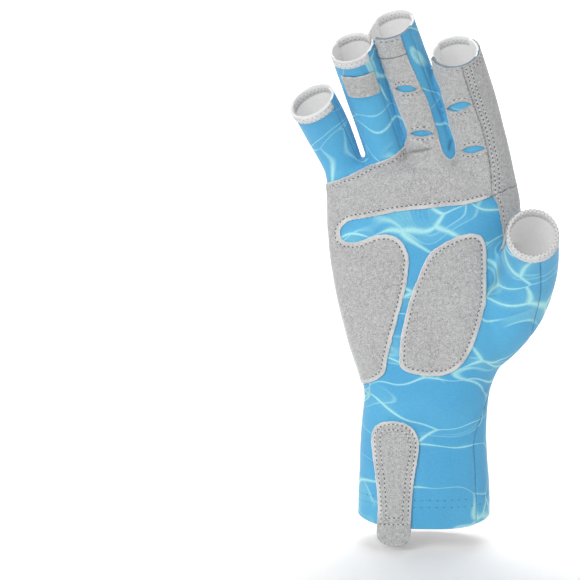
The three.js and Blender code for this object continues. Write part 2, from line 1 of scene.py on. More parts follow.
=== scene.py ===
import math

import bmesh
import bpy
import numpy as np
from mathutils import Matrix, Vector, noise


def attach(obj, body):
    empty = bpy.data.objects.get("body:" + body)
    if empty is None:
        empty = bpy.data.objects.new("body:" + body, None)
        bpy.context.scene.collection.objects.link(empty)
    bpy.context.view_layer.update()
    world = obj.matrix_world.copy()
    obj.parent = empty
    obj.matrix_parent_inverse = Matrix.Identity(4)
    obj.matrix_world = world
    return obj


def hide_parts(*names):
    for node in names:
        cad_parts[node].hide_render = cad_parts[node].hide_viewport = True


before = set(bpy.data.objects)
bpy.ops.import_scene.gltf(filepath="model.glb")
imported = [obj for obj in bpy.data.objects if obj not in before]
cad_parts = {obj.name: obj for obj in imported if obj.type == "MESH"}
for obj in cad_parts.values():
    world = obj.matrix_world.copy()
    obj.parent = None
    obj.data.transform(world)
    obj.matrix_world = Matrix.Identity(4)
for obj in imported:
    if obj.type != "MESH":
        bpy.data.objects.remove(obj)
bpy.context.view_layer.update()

# %% [markdown]
# # A fingerless fishing glove
#
# This lesson dresses a right-hand glove of stretch fabric and suede. The frame above holds
# plain solids; here each of them gets its real surface: seams, stitches, folds and finish.
#
# The glove is one smooth skin over a hand, cut into pieces of cloth. So the lesson makes the
# skin first, then cuts every piece out of it, as a maker cuts cloth laid over a form.

MM = 0.001

# %% [markdown]
# ## The camera
#
# The camera comes first, because the edges of the patches are drawn as it sees them.
# It stands in front of the palm, a little above, and turns so that the glove lies right of
# the middle. The picture is a square, so one number sets its scale.

# %% Camera
IMAGE_SIDE = 580
PIXEL = 0.48 * MM
CAMERA_DISTANCE = 900 * MM
CAMERA_RISE = math.radians(7.5)
VIEW_CENTRE = Vector((0, 0, 125 * MM))
CENTRE_PIXEL = (425, 264)
SENSOR = 36.0

bpy.ops.object.camera_add()
camera = bpy.context.object
camera.name = "camera"
camera.data.sensor_width = SENSOR
camera.data.lens = SENSOR * CAMERA_DISTANCE / (IMAGE_SIDE * PIXEL)
camera.data.clip_start = 0.01
camera.location = VIEW_CENTRE + CAMERA_DISTANCE * Vector((0, -math.cos(CAMERA_RISE), math.sin(CAMERA_RISE)))
half_side = IMAGE_SIDE / 2
aim = VIEW_CENTRE + PIXEL * Vector((half_side - CENTRE_PIXEL[0], 0, CENTRE_PIXEL[1] - half_side))
camera.rotation_euler = (aim - camera.location).to_track_quat("-Z", "Y").to_euler()
bpy.context.scene.camera = camera
bpy.context.view_layer.update()
camera_inverse = np.array(camera.matrix_world.inverted())
camera_place = np.array(camera.location)


def seen_at(points):
    """Where points appear in the picture, in pixels from its upper left corner."""
    local = points @ camera_inverse[:3, :3].T + camera_inverse[:3, 3]
    scale = camera.data.lens / SENSOR * IMAGE_SIDE / -local[:, 2]
    return np.stack([half_side + local[:, 0] * scale, half_side - local[:, 1] * scale], axis=1)


print("lens", round(camera.data.lens, 1), "mm; view centre at", seen_at(np.array([VIEW_CENTRE]))[0].round(1))

# %% [markdown]
# ## The form of the hand
#
# The hand is a stack of rounded sections, wide and shallow at the knuckles and nearly round at
# the wrist. Each digit is a tube that leans, curls and turns on its way. The sizes are close to
# those of the solids, so everything that is cut from the form fits the frame.

# %% Sizes of the hand
CUFF_LENGTH = 65 * MM
PALM_LENGTH = 113 * MM
CUFF_WIDTH = 64.3 * MM
CUFF_DEPTH = 42 * MM
WRIST_WIDTH = 60.4 * MM
WRIST_DEPTH = 39 * MM
PALM_WIDTH = 91.6 * MM
THENAR_DEPTH = 38 * MM
KNUCKLE_DEPTH = 30 * MM
PALM_HOLLOW = 3 * MM
HAND_SQUARENESS = 0.88
HOLLOW_SPREAD = 0.38

# Columns: share of the cuff's length, shift as a share of the palm's width, width, front, back.
CUFF_SECTIONS = (
    (0, 0.006, CUFF_WIDTH, 0.5 * CUFF_DEPTH, 0.5 * CUFF_DEPTH),
    (0.35, 0.004, 0.977 * CUFF_WIDTH, 0.485 * CUFF_DEPTH, 0.485 * CUFF_DEPTH),
    (0.75, 0.003, WRIST_WIDTH, 0.5 * WRIST_DEPTH, 0.5 * WRIST_DEPTH),
    (1, 0.014, 1.01 * WRIST_WIDTH, 0.49 * WRIST_DEPTH, 0.48 * WRIST_DEPTH),
)
# Columns: share of the palm's length, shares of its width for shift and width, front, back, and
# share of its hollow.
PALM_SECTIONS = (
    (0.08, 0.019, 0.725, 0.51 * THENAR_DEPTH, 0.47 * THENAR_DEPTH, 0.3),
    (0.17, 0.027, 0.815, 0.55 * THENAR_DEPTH, 0.44 * THENAR_DEPTH, 0.8),
    (0.3, 0.023, 0.898, 0.55 * THENAR_DEPTH, 0.42 * THENAR_DEPTH, 1),
    (0.5, 0.005, 0.964, 0.61 * KNUCKLE_DEPTH, 0.5 * KNUCKLE_DEPTH, 1),
    (0.7, -0.009, 0.992, 0.55 * KNUCKLE_DEPTH, 0.48 * KNUCKLE_DEPTH, 0.7),
    (0.87, -0.0245, 0.976, 0.48 * KNUCKLE_DEPTH, 0.45 * KNUCKLE_DEPTH, 0.2),
    (0.95, -0.05, 0.955, 0.38 * KNUCKLE_DEPTH, 0.37 * KNUCKLE_DEPTH, 0),
    (0.985, -0.06, 0.9, 0.2 * KNUCKLE_DEPTH, 0.2 * KNUCKLE_DEPTH, 0),
)
HAND_SECTIONS = np.array([
    (share * CUFF_LENGTH, shift * PALM_WIDTH, width, front, back, 0)
    for share, shift, width, front, back in CUFF_SECTIONS
] + [
    (CUFF_LENGTH + share * PALM_LENGTH, shift * PALM_WIDTH, width * PALM_WIDTH, front, back,
     hollow * PALM_HOLLOW)
    for share, shift, width, front, back, hollow in PALM_SECTIONS
])
HAND_TOP = HAND_SECTIONS[-1, 0]
print(len(HAND_SECTIONS), "sections of the hand, up to", round(HAND_TOP / MM, 1), "mm")


def smooth_lookup(stations, values, where):
    """A smooth curve through a table's values, read at any station."""
    where = np.clip(where, stations[0], stations[-1])
    slopes = np.gradient(values, stations)
    i = np.clip(np.searchsorted(stations, where) - 1, 0, len(stations) - 2)
    step = stations[i + 1] - stations[i]
    t = (where - stations[i]) / step
    start = (1 + 2 * t) * (1 - t) ** 2 * values[i] + t * (1 - t) ** 2 * step * slopes[i]
    end = t * t * (3 - 2 * t) * values[i + 1] + t * t * (t - 1) * step * slopes[i + 1]
    return start + end


def hand_value(column, heights):
    """One column of the hand's sections, read at any height."""
    return smooth_lookup(HAND_SECTIONS[:, 0], HAND_SECTIONS[:, column], np.asarray(heights))


def hand_ring(height, sides):
    """The hand's outline at one height, anticlockwise from above."""
    shift, width, front, back, hollow = (float(hand_value(column, height)) for column in range(1, 6))
    angle = 2 * np.pi * np.arange(sides) / sides
    across = np.sign(np.cos(angle)) * np.abs(np.cos(angle)) ** HAND_SQUARENESS
    through = np.sign(np.sin(angle)) * np.abs(np.sin(angle)) ** HAND_SQUARENESS
    dip = hollow * np.exp(-((across / HOLLOW_SPREAD) ** 2))
    depth = np.where(through < 0, through * (front - dip), through * back)
    return np.stack([shift + across * width / 2, depth, np.full(sides, float(height))], axis=1)


# %% Routes of the digits
# Root is across and up the palm, in shares of its width and length. Lean is towards the thumb,
# curl towards the palm, and twist turns the palm side to the little finger, in degrees. Widths
# are shares of the digit's width at the stations along it.
DIGIT_FLATNESS = 0.92
WIDTH_STATIONS = np.array([0, 0.3, 0.6, 1])
TWIST_DONE = 0.7
DIGITS = {
    "index": dict(root=(0.33, 0.85), length=75.5 * MM, width=22.8 * MM, widths=(1.09, 1.1, 1.08, 0.955),
                  lean=(-13, -17), curl=(3, 42), twist=20),
    "middle": dict(root=(0.1, 0.85), length=89 * MM, width=21.8 * MM, widths=(1.06, 1.08, 1.07, 0.985),
                   lean=(-16.5, -19.5), curl=(3, 37), twist=20),
    "ring": dict(root=(-0.153, 0.85), length=78.3 * MM, width=20.6 * MM, widths=(0.87, 0.94, 1.01, 1),
                 lean=(-15, -19), curl=(3, 42), twist=18),
    "little": dict(root=(-0.387, 0.865), length=48.6 * MM, width=22.9 * MM, widths=(0.8, 0.845, 0.955, 0.99),
                   lean=(-19.4, -27.6), curl=(3, 37), twist=14),
    "thumb": dict(root=(0.295, 0.186), length=76 * MM, width=24.6 * MM, widths=(1.1, 1.29, 1.18, 0.93),
                  lean=(43, -6), curl=(5, 58), twist=0, curl_power=1.3, lip_flatness=1.08),
}
ROUTE_STEP = 0.5 * MM
ROUTE_BEFORE = 12 * MM
ROUTE_PAST = 12 * MM


def between(ends, t):
    return ends[0] + (ends[1] - ends[0]) * t


def digit_axes(digit, share):
    """The directions along, to the thumb's side and out of the palm side, at shares of the length."""
    t = np.clip(share, 0, 1)
    lean = np.radians(between(digit["lean"], t))
    curl = np.radians(between(digit["curl"], t ** digit.get("curl_power", 1)))
    turn = np.clip(t / TWIST_DONE, 0, 1)
    twist = np.radians(digit["twist"] * turn * turn * (3 - 2 * turn))[:, None]
    along = np.stack([np.sin(lean) * np.cos(curl), -np.sin(curl), np.cos(lean) * np.cos(curl)], axis=1)
    side = np.stack([np.cos(lean), 0 * lean, -np.sin(lean)], axis=1)
    palmar = np.cross(side, along)
    return along, np.cos(twist) * side + np.sin(twist) * palmar, np.cos(twist) * palmar - np.sin(twist) * side


for name, digit in DIGITS.items():
    distance = np.arange(-ROUTE_BEFORE, digit["length"] + ROUTE_PAST, ROUTE_STEP)
    along, side, palmar = digit_axes(digit, distance / digit["length"])
    centre = np.cumsum(along * ROUTE_STEP, axis=0)
    start = np.array([digit["root"][0] * PALM_WIDTH, 0, CUFF_LENGTH + digit["root"][1] * PALM_LENGTH])
    centre += start - centre[int(round(ROUTE_BEFORE / ROUTE_STEP))]
    shares = np.clip(distance / digit["length"], 0, 1)
    half = smooth_lookup(WIDTH_STATIONS, np.array(digit["widths"]), shares) * digit["width"] / 2
    flat = between((DIGIT_FLATNESS, digit.get("lip_flatness", DIGIT_FLATNESS)), shares ** 2)
    digit["route"] = dict(distance=distance, centre=centre, along=along, side=side, palmar=palmar,
                          half=half, flat=flat)
    print(name, "lip centre in mm", (centre[np.argmin(abs(distance - digit["length"]))] / MM).round(1))


def route_at(digit, distance):
    """Centre, along, side, palmar, half width and flatness of a digit at a distance from its root."""
    route = digit["route"]
    i = int(np.clip(round((distance + ROUTE_BEFORE) / ROUTE_STEP), 0, len(route["distance"]) - 1))
    rest = distance - route["distance"][i]
    centre = route["centre"][i] + rest * route["along"][i]
    return centre, route["along"][i], route["side"][i], route["palmar"][i], route["half"][i], route["flat"][i]


def around(digit, distance, angle, grow=0.0):
    """A point on a digit: the angle runs from the palm side to the thumb's side, in degrees."""
    centre, _, side, palmar, half, flat = route_at(digit, distance)
    turn = math.radians(angle)
    return centre + side * math.sin(turn) * (half + grow) + palmar * math.cos(turn) * (half * flat + grow)


# %% [markdown]
# ## One skin over hand and digits
#
# A filled circle is extruded from section to section for the hand and for each digit. The six
# tubes run into each other, so a voxel remesh welds them into one closed skin, and smoothing
# rounds the crotches between the fingers as tight cloth does. The tubes run on past the openings
# and are cut there later, so that the lips come out clean.

# %% Tubes by extrusion
HAND_SIDES = 72
HAND_RINGS = 30
DIGIT_SIDES = 32
DIGIT_RINGS = 16
PAST_CUFF = 16 * MM
PAST_LIP = 3.5 * MM
ROOT_SHRINK = 0.55


def deselect_all():
    bpy.ops.object.select_all(action="DESELECT")


def tube(name, rings):
    """A closed tube: a filled circle extruded from ring to ring."""
    deselect_all()
    bpy.ops.mesh.primitive_circle_add(vertices=len(rings[0]), radius=PALM_WIDTH, fill_type="NGON")
    thing = bpy.context.object
    thing.name = name
    bpy.ops.object.mode_set(mode="EDIT")
    mesh = bmesh.from_edit_mesh(thing.data)
    for vertex, place in zip(sorted(mesh.verts, key=lambda v: v.index), rings[0]):
        vertex.co = place
    for before, after in zip(rings, rings[1:]):
        bpy.ops.mesh.extrude_region_move()
        mesh = bmesh.from_edit_mesh(thing.data)
        for vertex in mesh.verts:
            if vertex.select:
                vertex.co = after[int(np.argmin(((before - np.array(vertex.co)) ** 2).sum(axis=1)))]
        bmesh.update_edit_mesh(thing.data)
    bpy.ops.mesh.select_all(action="SELECT")
    bpy.ops.mesh.normals_make_consistent(inside=False)
    bpy.ops.object.mode_set(mode="OBJECT")
    return thing


angles = np.arange(DIGIT_SIDES) * 360 / DIGIT_SIDES
heights = [-PAST_CUFF] + list(np.linspace(0, HAND_TOP, HAND_RINGS))
hand_rings = [hand_ring(max(height, 0), HAND_SIDES) for height in heights]
hand_rings[0][:, 2] = -PAST_CUFF
tubes = [tube("hand_form", hand_rings)]
for name, digit in DIGITS.items():
    distances = np.linspace(0, digit["length"] + PAST_LIP, DIGIT_RINGS)
    rings = [np.array([around(digit, distance, angle) for angle in angles]) for distance in distances]
    root = route_at(digit, -ROUTE_BEFORE)[0]
    rings.insert(0, root + ROOT_SHRINK * (rings[0] - route_at(digit, 0)[0]))
    tubes.append(tube(name + "_form", rings))
print("tubes", [thing.name for thing in tubes])

# %% Welding and smoothing
VOXEL = 1.0 * MM
SMOOTHING_ROUNDS = 7


def activate(thing):
    deselect_all()
    thing.select_set(True)
    bpy.context.view_layer.objects.active = thing


def apply_modifier(thing, kind, **settings):
    """Adds a modifier with its settings and applies it."""
    activate(thing)
    modifier = thing.modifiers.new(kind.lower(), kind)
    for key, value in settings.items():
        setattr(modifier, key, value)
    bpy.ops.object.modifier_apply(modifier=modifier.name)


deselect_all()
for thing in tubes:
    thing.select_set(True)
bpy.context.view_layer.objects.active = tubes[0]
bpy.ops.object.join()
form = bpy.context.object
form.name = "form"
apply_modifier(form, "REMESH", mode="VOXEL", voxel_size=VOXEL, use_smooth_shade=True)
apply_modifier(form, "SMOOTH", factor=0.5, iterations=SMOOTHING_ROUNDS)
print("form has", len(form.data.vertices), "points")

# %% [markdown]
# ## Where a point lies
#
# To cut the skin into pieces, every point needs to know where it is: where the camera sees it,
# how far it is along each digit and at what angle round it. These places are worked out once
# for all points together.

# %% Places on the form
skin = form.data
whole = bmesh.new()
whole.from_mesh(skin)
bmesh.ops.triangulate(whole, faces=whole.faces)
whole.to_mesh(skin)
whole.free()


def read(items, what, width, kind=float):
    """What each point or edge of the skin holds, as rows of numbers."""
    values = np.empty(len(items) * width, dtype=kind)
    items.foreach_get(what, values)
    return values.reshape(-1, width)


count = len(skin.vertices)
points = read(skin.vertices, "co", 3)
normals = read(skin.vertices, "normal", 3)
edges = read(skin.edges, "vertices", 2, int)
neighbours = np.maximum(np.bincount(edges.ravel(), minlength=count), 1)
pixels = seen_at(points)
to_camera = camera_place - points
to_camera /= np.linalg.norm(to_camera, axis=1)[:, None]
FAR = 50 * MM
NEAR = 8 * MM
CHUNK = 4000
NOT_ON_DIGIT = 9
OWNED_WITHIN = 1.4
# Rounds of smoothing, more for what has to run more evenly.
FACING_ROUNDS = 6
EDGE_ROUNDS = 2
SEAM_ROUNDS = 3
LONG_EDGE_ROUNDS = 4


def smoothed(values, rounds):
    """Values averaged with their neighbours on the skin, to round the corners of an edge."""
    for _ in range(rounds):
        total = np.bincount(edges[:, 0], values[edges[:, 1]], count)
        total += np.bincount(edges[:, 1], values[edges[:, 0]], count)
        values = 0.5 * values + 0.5 * total / neighbours
    return values


def rounded(edge):
    """The edge of a patch with its corners rounded a little."""
    return smoothed(edge.clip(-NEAR, NEAR), EDGE_ROUNDS)


facing = smoothed((normals * to_camera).sum(axis=1), FACING_ROUNDS)


def ramp(values, low, high):
    """0 below the low value, 1 above the high one, and a smooth rise between."""
    t = np.clip((values - low) / (high - low), 0, 1)
    return t * t * (3 - 2 * t)


def place_on(digit, where):
    """Distance along a digit, angle round it in degrees, and closeness (1 is on its surface)."""
    route = digit["route"]
    nearest = np.empty(len(where), dtype=int)
    for begin in range(0, len(where), CHUNK):
        away = where[begin:begin + CHUNK, None, :] - route["centre"][None]
        nearest[begin:begin + CHUNK] = np.argmin((away ** 2).sum(axis=2), axis=1)
    offset = where - route["centre"][nearest]
    half, flat = route["half"][nearest], route["flat"][nearest]
    ahead = (offset * route["along"][nearest]).sum(axis=1)
    across = (offset * route["side"][nearest]).sum(axis=1) / half
    through = (offset * route["palmar"][nearest]).sum(axis=1) / half / flat
    distance = route["distance"][nearest] + ahead
    return distance, np.degrees(np.arctan2(across, through)), np.hypot(across, through)


for digit in DIGITS.values():
    digit["distance"], digit["angle"], digit["close"] = place_on(digit, points)
closeness = np.stack([np.where(d["distance"] > 0, d["close"], NOT_ON_DIGIT) for d in DIGITS.values()])
owner = np.where(closeness.min(axis=0) < OWNED_WITHIN, closeness.argmin(axis=0), -1)
for number, (name, digit) in enumerate(DIGITS.items()):
    digit["own"] = owner == number
    print(name, "owns", int(digit["own"].sum()), "points")

# %% [markdown]
# ## Edges as distances
#
# A piece of cloth is described by a number at every point of the skin: the distance to its
# edge, negative inside. An edge drawn as the camera sees it comes from a smooth outline in
# pixels, and an edge along a digit comes from the angle round it. Cutting the skin where the
# number is zero gives a clean edge, and the same number tells where stitches run.

# %% Outlines
def smooth_line(places, step=3.0):
    """A smooth line through a few places, as many short steps."""
    places = np.array(places, dtype=float)
    if len(places) < 3:
        return places
    padded = np.vstack([2 * places[0] - places[1], places, 2 * places[-1] - places[-2]])
    line = []
    for a, b, c, d in zip(padded, padded[1:], padded[2:], padded[3:]):
        pieces = max(int(np.linalg.norm(c - b) / step), 1)
        for t in np.arange(pieces)[:, None] / pieces:
            line.append(0.5 * (2 * b + (c - a) * t + (2 * a - 5 * b + 4 * c - d) * t ** 2
                               + (3 * b - a - 3 * c + d) * t ** 3))
    return np.vstack(line + [places[-1]])


def outline_distance(flat, outline):
    """Distance of flat points to a closed outline, negative inside."""
    ends = np.roll(outline, -1, axis=0)
    nearest = np.full(len(flat), np.inf)
    inside = np.zeros(len(flat), dtype=bool)
    for a, b in zip(outline, ends):
        run = b - a
        t = np.clip(((flat - a) @ run) / max(run @ run, 1e-12), 0, 1)
        nearest = np.minimum(nearest, np.hypot(*(flat - a - t[:, None] * run).T))
        if a[1] != b[1]:
            crosses = (a[1] > flat[:, 1]) != (b[1] > flat[:, 1])
            inside ^= crosses & (flat[:, 0] < run[0] * (flat[:, 1] - a[1]) / run[1] + a[0])
    return np.where(inside, -nearest, nearest)


def seen_inside(*lines):
    """The distance to an outline drawn in pixels, for the side that faces the camera."""
    outline = np.vstack([smooth_line(line) for line in lines])
    return outline_distance(pixels, outline) * PIXEL


FACING_EDGE = 0.04
FACING_MM = 6
hidden = (FACING_EDGE - facing) * FACING_MM * MM

# %% Trimming the openings
# Each lip tilts a little, by these heights at its side towards the thumb.
LIP_TILT = {"index": -0.6 * MM, "middle": 0.6 * MM, "ring": 0.4 * MM, "little": 0.6 * MM, "thumb": 0}
LIP_ZONE = 10 * MM
CUFF_RISE = 3.2 * MM
CUFF_START = 0.9 * MM
past_edge = CUFF_START + CUFF_RISE * (points[:, 0] / (CUFF_WIDTH / 2)) ** 4 - points[:, 2]
for name, digit in DIGITS.items():
    centre, along, side, palmar, half, flat = route_at(digit, digit["length"])
    ahead = (points - centre) @ along - LIP_TILT[name] * ((points - centre) @ side) / half
    near_lip = digit["own"] & (digit["distance"] > digit["length"] - LIP_ZONE)
    past_edge = np.where(near_lip, np.maximum(past_edge, ahead), past_edge)

# %% Seams of the fabric
# Towards the back the number is positive: the side seam of the hand, then of each digit.
CUFF_SEAM_ANGLE = -40
CUFF_SEAM_TOP = 40 * MM
SEAM_LEVEL = 80 * MM
TURN_RADIUS_MM = 25
FINGER_BLEND = (2 * MM, 14 * MM)
THUMB_BLEND = (8 * MM, 24 * MM)
across = (points[:, 0] - hand_value(1, points[:, 2])) / (hand_value(2, points[:, 2]) / 2)
hand_angle = np.degrees(np.arctan2(points[:, 1] / hand_value(3, points[:, 2]), across))
seam_angle = CUFF_SEAM_ANGLE * (1 - ramp(points[:, 2], CUFF_SEAM_TOP, SEAM_LEVEL))
to_back = np.where(across > 0, np.radians(hand_angle - seam_angle) * TURN_RADIUS_MM * MM, points[:, 1])


def arc(digit, degrees):
    """The way round a digit that an angle makes."""
    return np.radians(degrees) * digit["width"] / 2


# Columns: share of the thumb's length, angle of its outer seam.
THUMB_SEAM = np.array([(0, 95), (0.15, 86), (0.35, 52), (0.6, 34), (1, 8)])
THUMB_INNER_SEAM = -104
for name, digit in DIGITS.items():
    if name == "thumb":
        seam = smooth_lookup(THUMB_SEAM[:, 0], THUMB_SEAM[:, 1], digit["distance"] / digit["length"])
        turned = np.maximum(THUMB_INNER_SEAM - digit["angle"], digit["angle"] - seam)
        blend = THUMB_BLEND
    else:
        turned = np.abs(digit["angle"]) - 90
        blend = FINGER_BLEND
    weight = np.where(digit["own"], ramp(digit["distance"], *blend), 0)
    to_back = to_back + weight * (arc(digit, turned) - to_back)
# The side seam keeps clear of the crotch of the thumb, where only palm fabric shows.
CROTCH_PIXEL = (500, 243)
CROTCH_REACH = 17
CROTCH_PUSH = 8 * MM
from_crotch = ((pixels - CROTCH_PIXEL) ** 2).sum(axis=1)
near_crotch = np.exp(-from_crotch / CROTCH_REACH ** 2) * ramp(facing, -0.1, 0.1)
to_back = smoothed(to_back - CROTCH_PUSH * near_crotch, SEAM_ROUNDS)

FOURCHETTE_WIDTH = 11 * MM
FOURCHETTE_START = 2 * MM
FINGER_PAIRS = (("index", "middle"), ("middle", "ring"), ("ring", "little"))
fourchettes = {}
for one, other in FINGER_PAIRS:
    distance = np.full(count, FAR)
    for name, angle in ((one, -90), (other, 90)):
        digit = DIGITS[name]
        sideways = arc(digit, np.abs(digit["angle"] - angle)) - FOURCHETTE_WIDTH / 2
        sideways = np.maximum(sideways, FOURCHETTE_START - digit["distance"])
        distance = np.where(digit["own"], np.minimum(distance, sideways), distance)
    fourchettes[one + "_" + other] = smoothed(distance.clip(-FAR, NEAR), EDGE_ROUNDS)
between_fingers = np.min(list(fourchettes.values()), axis=0)

# %% Edges of the suede
# The outlines are in pixels, and run round each patch as the camera sees it.
PALM_TOP = ((300, 186), (326, 183), (345, 177), (360, 171), (376, 163), (390, 157), (398, 151),
            (404, 145), (408, 138))
MIDDLE_LEFT = ((408, 133), (407, 128), (403, 118), (399, 108), (394, 95), (389, 82), (383, 68),
               (378.5, 57))
MIDDLE_TIP = ((378.5, 57), (386, 58), (396, 56.5), (407, 53))
MIDDLE_RIGHT = ((407, 53), (408, 58), (414, 72), (421, 87), (427, 100), (431, 113), (434, 123),
                (437, 132), (439, 142))
CROTCH_NOTCH = ((442, 151), (446, 157), (450, 159.5), (454, 156), (456, 150))
INDEX_LEFT = ((456, 143), (454, 136), (451, 128), (449, 118), (446, 106), (443, 95), (440, 85),
              (436, 77), (431, 66), (424, 48))
INDEX_SEAM = ((457, 48), (461, 64), (465, 79), (470, 94), (476, 112), (481, 126), (486, 146),
              (489, 161), (491, 180), (492, 197))
PALM_LOWER = ((480, 201), (465, 204.5), (450, 206), (430, 208), (410, 210), (395, 212), (380, 215),
              (365, 218), (352, 220), (346, 223.5), (341.5, 228.5), (340.4, 233), (341.5, 238.5),
              (346, 241.7), (352, 242.4), (360, 241.5), (368, 238), (376, 235.4), (386, 234.4),
              (393, 235.6), (399, 239), (404, 245), (408, 254), (409, 262), (407.6, 272),
              (406.7, 282), (403.6, 296), (400, 310), (396, 325), (392, 340), (388, 357), (386, 370),
              (382.8, 375.5), (376, 380), (367, 383), (350, 384), (300, 384))
palm_outline = seen_inside(PALM_TOP, MIDDLE_LEFT, MIDDLE_TIP, MIDDLE_RIGHT, CROTCH_NOTCH, INDEX_LEFT,
                           INDEX_SEAM, PALM_LOWER)
palm_patch_edge = np.maximum(palm_outline, hidden)
RING_CLEAR_FROM = 26 * MM
MIDDLE_CORNER = (420, 80)
ring, middle, index, thumb = (DIGITS[name] for name in ("ring", "middle", "index", "thumb"))
on_ring = ring["own"] & (ring["distance"] > RING_CLEAR_FROM)
middle_side = middle["own"] & (pixels[:, 0] > MIDDLE_CORNER[0]) & (pixels[:, 1] < MIDDLE_CORNER[1])
palm_patch_edge = rounded(np.where(on_ring | middle_side, NEAR, palm_patch_edge))

# %% Slits
# Columns: middle, half width, half height and rise of each pointed opening.
SLITS = ((406, 88.2, 11, 3.4, 0.0), (422, 132.8, 11.5, 3.0, 0.0), (459.5, 105.6, 12, 4.4, -0.22),
         (473.5, 148.8, 12, 3.4, -0.12))


def slit_edge(x, y, half_width, half_height, rise):
    """The distance to a slit: two bows between the same two points."""
    across = np.linspace(-1, 1, 13)
    bow = half_height * (1 - across ** 2)
    middle_line = y + rise * half_width * across
    upper = np.stack([x + half_width * across, middle_line - bow], axis=1)
    lower = np.stack([x + half_width * across, middle_line + bow], axis=1)
    return outline_distance(pixels, np.vstack([upper, lower[-2:0:-1]])) * PIXEL


slit_edges = np.min([slit_edge(*slit) for slit in SLITS], axis=0)
print(len(SLITS), "slits over", int((slit_edges < 0).sum()), "points")


# %% Middle tip, thenar pad and tab
def patch_edge(*lines):
    """The distance to the edge of a patch on the side that faces the camera."""
    return rounded(np.maximum(seen_inside(*lines), hidden))


TIP_RIGHT = ((404, 47), (395, 20))
TIP_LEFT = ((360, 20), (370, 37), (374, 46))
middle_tip_edge = np.maximum(seen_inside(MIDDLE_TIP, TIP_RIGHT, TIP_LEFT), hidden)
middle_tip_edge = rounded(np.where(on_ring, NEAR, middle_tip_edge))
THENAR = ((399.4, 365), (399.8, 350), (401, 335), (404.5, 320), (408, 305), (413, 290), (419, 275),
          (424.6, 262), (431.6, 252), (440.6, 245), (451.7, 239), (462, 235), (472.4, 233.5),
          (480, 235), (484, 241), (486, 250), (486.3, 280), (486, 300), (483, 312), (479.7, 325),
          (475.8, 337), (471.3, 349), (465, 360), (457, 369), (446.8, 374), (435, 376),
          (420.4, 375), (407, 371.5), (401.2, 368), (399.4, 365))
thenar_edge = patch_edge(THENAR)
TAB = ((384, 421.5), (376.5, 426), (373.3, 437), (374, 452), (376, 470), (378, 490), (379, 505),
       (378.6, 520), (378, 533), (380, 540), (385, 543.5), (394, 545.5), (402.5, 546), (408.5, 541),
       (411, 533), (411.2, 520), (412.2, 500), (414.2, 480), (417.2, 462), (419, 447), (418, 437),
       (413, 428), (406, 423.5), (396, 421), (384, 421.5))
tab_edge = patch_edge(TAB)
TAB_CROSS_ROWS = 520.5
tab_cross = (pixels[:, 1] - TAB_CROSS_ROWS) * PIXEL

# %% Ring patch
RING_PATCH = dict(low=55.5 * MM, high=69 * MM, left=-34, right=53, tilt=0.9 * MM)
middle_angle = (RING_PATCH["left"] + RING_PATCH["right"]) / 2
half_angle = RING_PATCH["right"] - middle_angle
ring_turn = ((ring["angle"] - middle_angle) / half_angle).clip(-1, 1)
ring_height = ring["distance"] + RING_PATCH["tilt"] * ring_turn
ring_patch_edge = np.where(ring["own"], np.maximum.reduce([
    RING_PATCH["low"] - ring_height, ring_height - RING_PATCH["high"],
    arc(ring, np.abs(ring["angle"] - middle_angle) - half_angle),
]), FAR)
ring_patch_edge = rounded(ring_patch_edge)

# %% Side strip and crotch piece
# Both share one edge in front and one on the back.
CROTCH_FRONT = ((492, 197), (497, 205), (499, 215), (501, 225), (502.5, 237), (503.5, 252))
CROTCH_RETURN = ((503.5, 252), (506, 244), (508.5, 236), (509, 228))
BEYOND_RIGHT = ((620, 228), (620, 20), (457, 20))
front_edge = seen_inside(INDEX_SEAM, CROTCH_FRONT, CROTCH_RETURN, BEYOND_RIGHT)
INDEX_BACK_ANGLE = 146
BACK_SEAM_STATIONS = np.arange(95, 14, -8) * MM
back_seam = [around(index, distance, INDEX_BACK_ANGLE)[[0, 2]] for distance in BACK_SEAM_STATIONS]
# Columns: across and up the back, in mm.
BACK_LOWER = ((28, 163), (27, 150), (27, 138), (28.5, 126), (33, 116.5), (39.5, 112.5), (48, 114), (60, 122))
BACK_CORNERS = [(90 * MM, 122 * MM), (90 * MM, 260 * MM)]
back_line = smooth_line(np.vstack([back_seam, np.array(BACK_LOWER) * MM]), 2 * MM)
back_edge = outline_distance(points[:, [0, 2]], np.vstack([back_line, BACK_CORNERS]))
CROTCH_ON_THUMB = (-150, -88)
STRIP_BLEND = (16 * MM, 30 * MM)
STRIP_NEAR = 9 * MM
crotch_middle = sum(CROTCH_ON_THUMB) / 2
crotch_turn = (thumb["angle"] - crotch_middle + 180) % 360 - 180
on_thumb = arc(thumb, np.abs(crotch_turn) - (CROTCH_ON_THUMB[1] - crotch_middle))
weight = np.where(thumb["own"], ramp(thumb["distance"], *STRIP_BLEND), 0)
on_back = back_edge.clip(-STRIP_NEAR, STRIP_NEAR)
on_back = on_back + weight * (on_thumb.clip(-STRIP_NEAR, STRIP_NEAR) - on_back)
side_edge = np.where(facing > 0, front_edge.clip(-STRIP_NEAR, STRIP_NEAR), on_back)
side_edge = smoothed(side_edge, LONG_EDGE_ROUNDS)
CROSS_SEAM = ((460, 208), (493, 195.5), (503, 190), (516, 185), (560, 172))
ABOVE_PICTURE = [(700, -200), (300, -200)]
CROSS_SEAM_SHARE = 0.87
above_cross = outline_distance(pixels, np.vstack([smooth_line(CROSS_SEAM), ABOVE_PICTURE])) * PIXEL
on_back = (CUFF_LENGTH + CROSS_SEAM_SHARE * PALM_LENGTH) - points[:, 2]
above_cross = smoothed(np.where(facing > 0, above_cross, on_back).clip(-FAR, FAR), LONG_EDGE_ROUNDS)

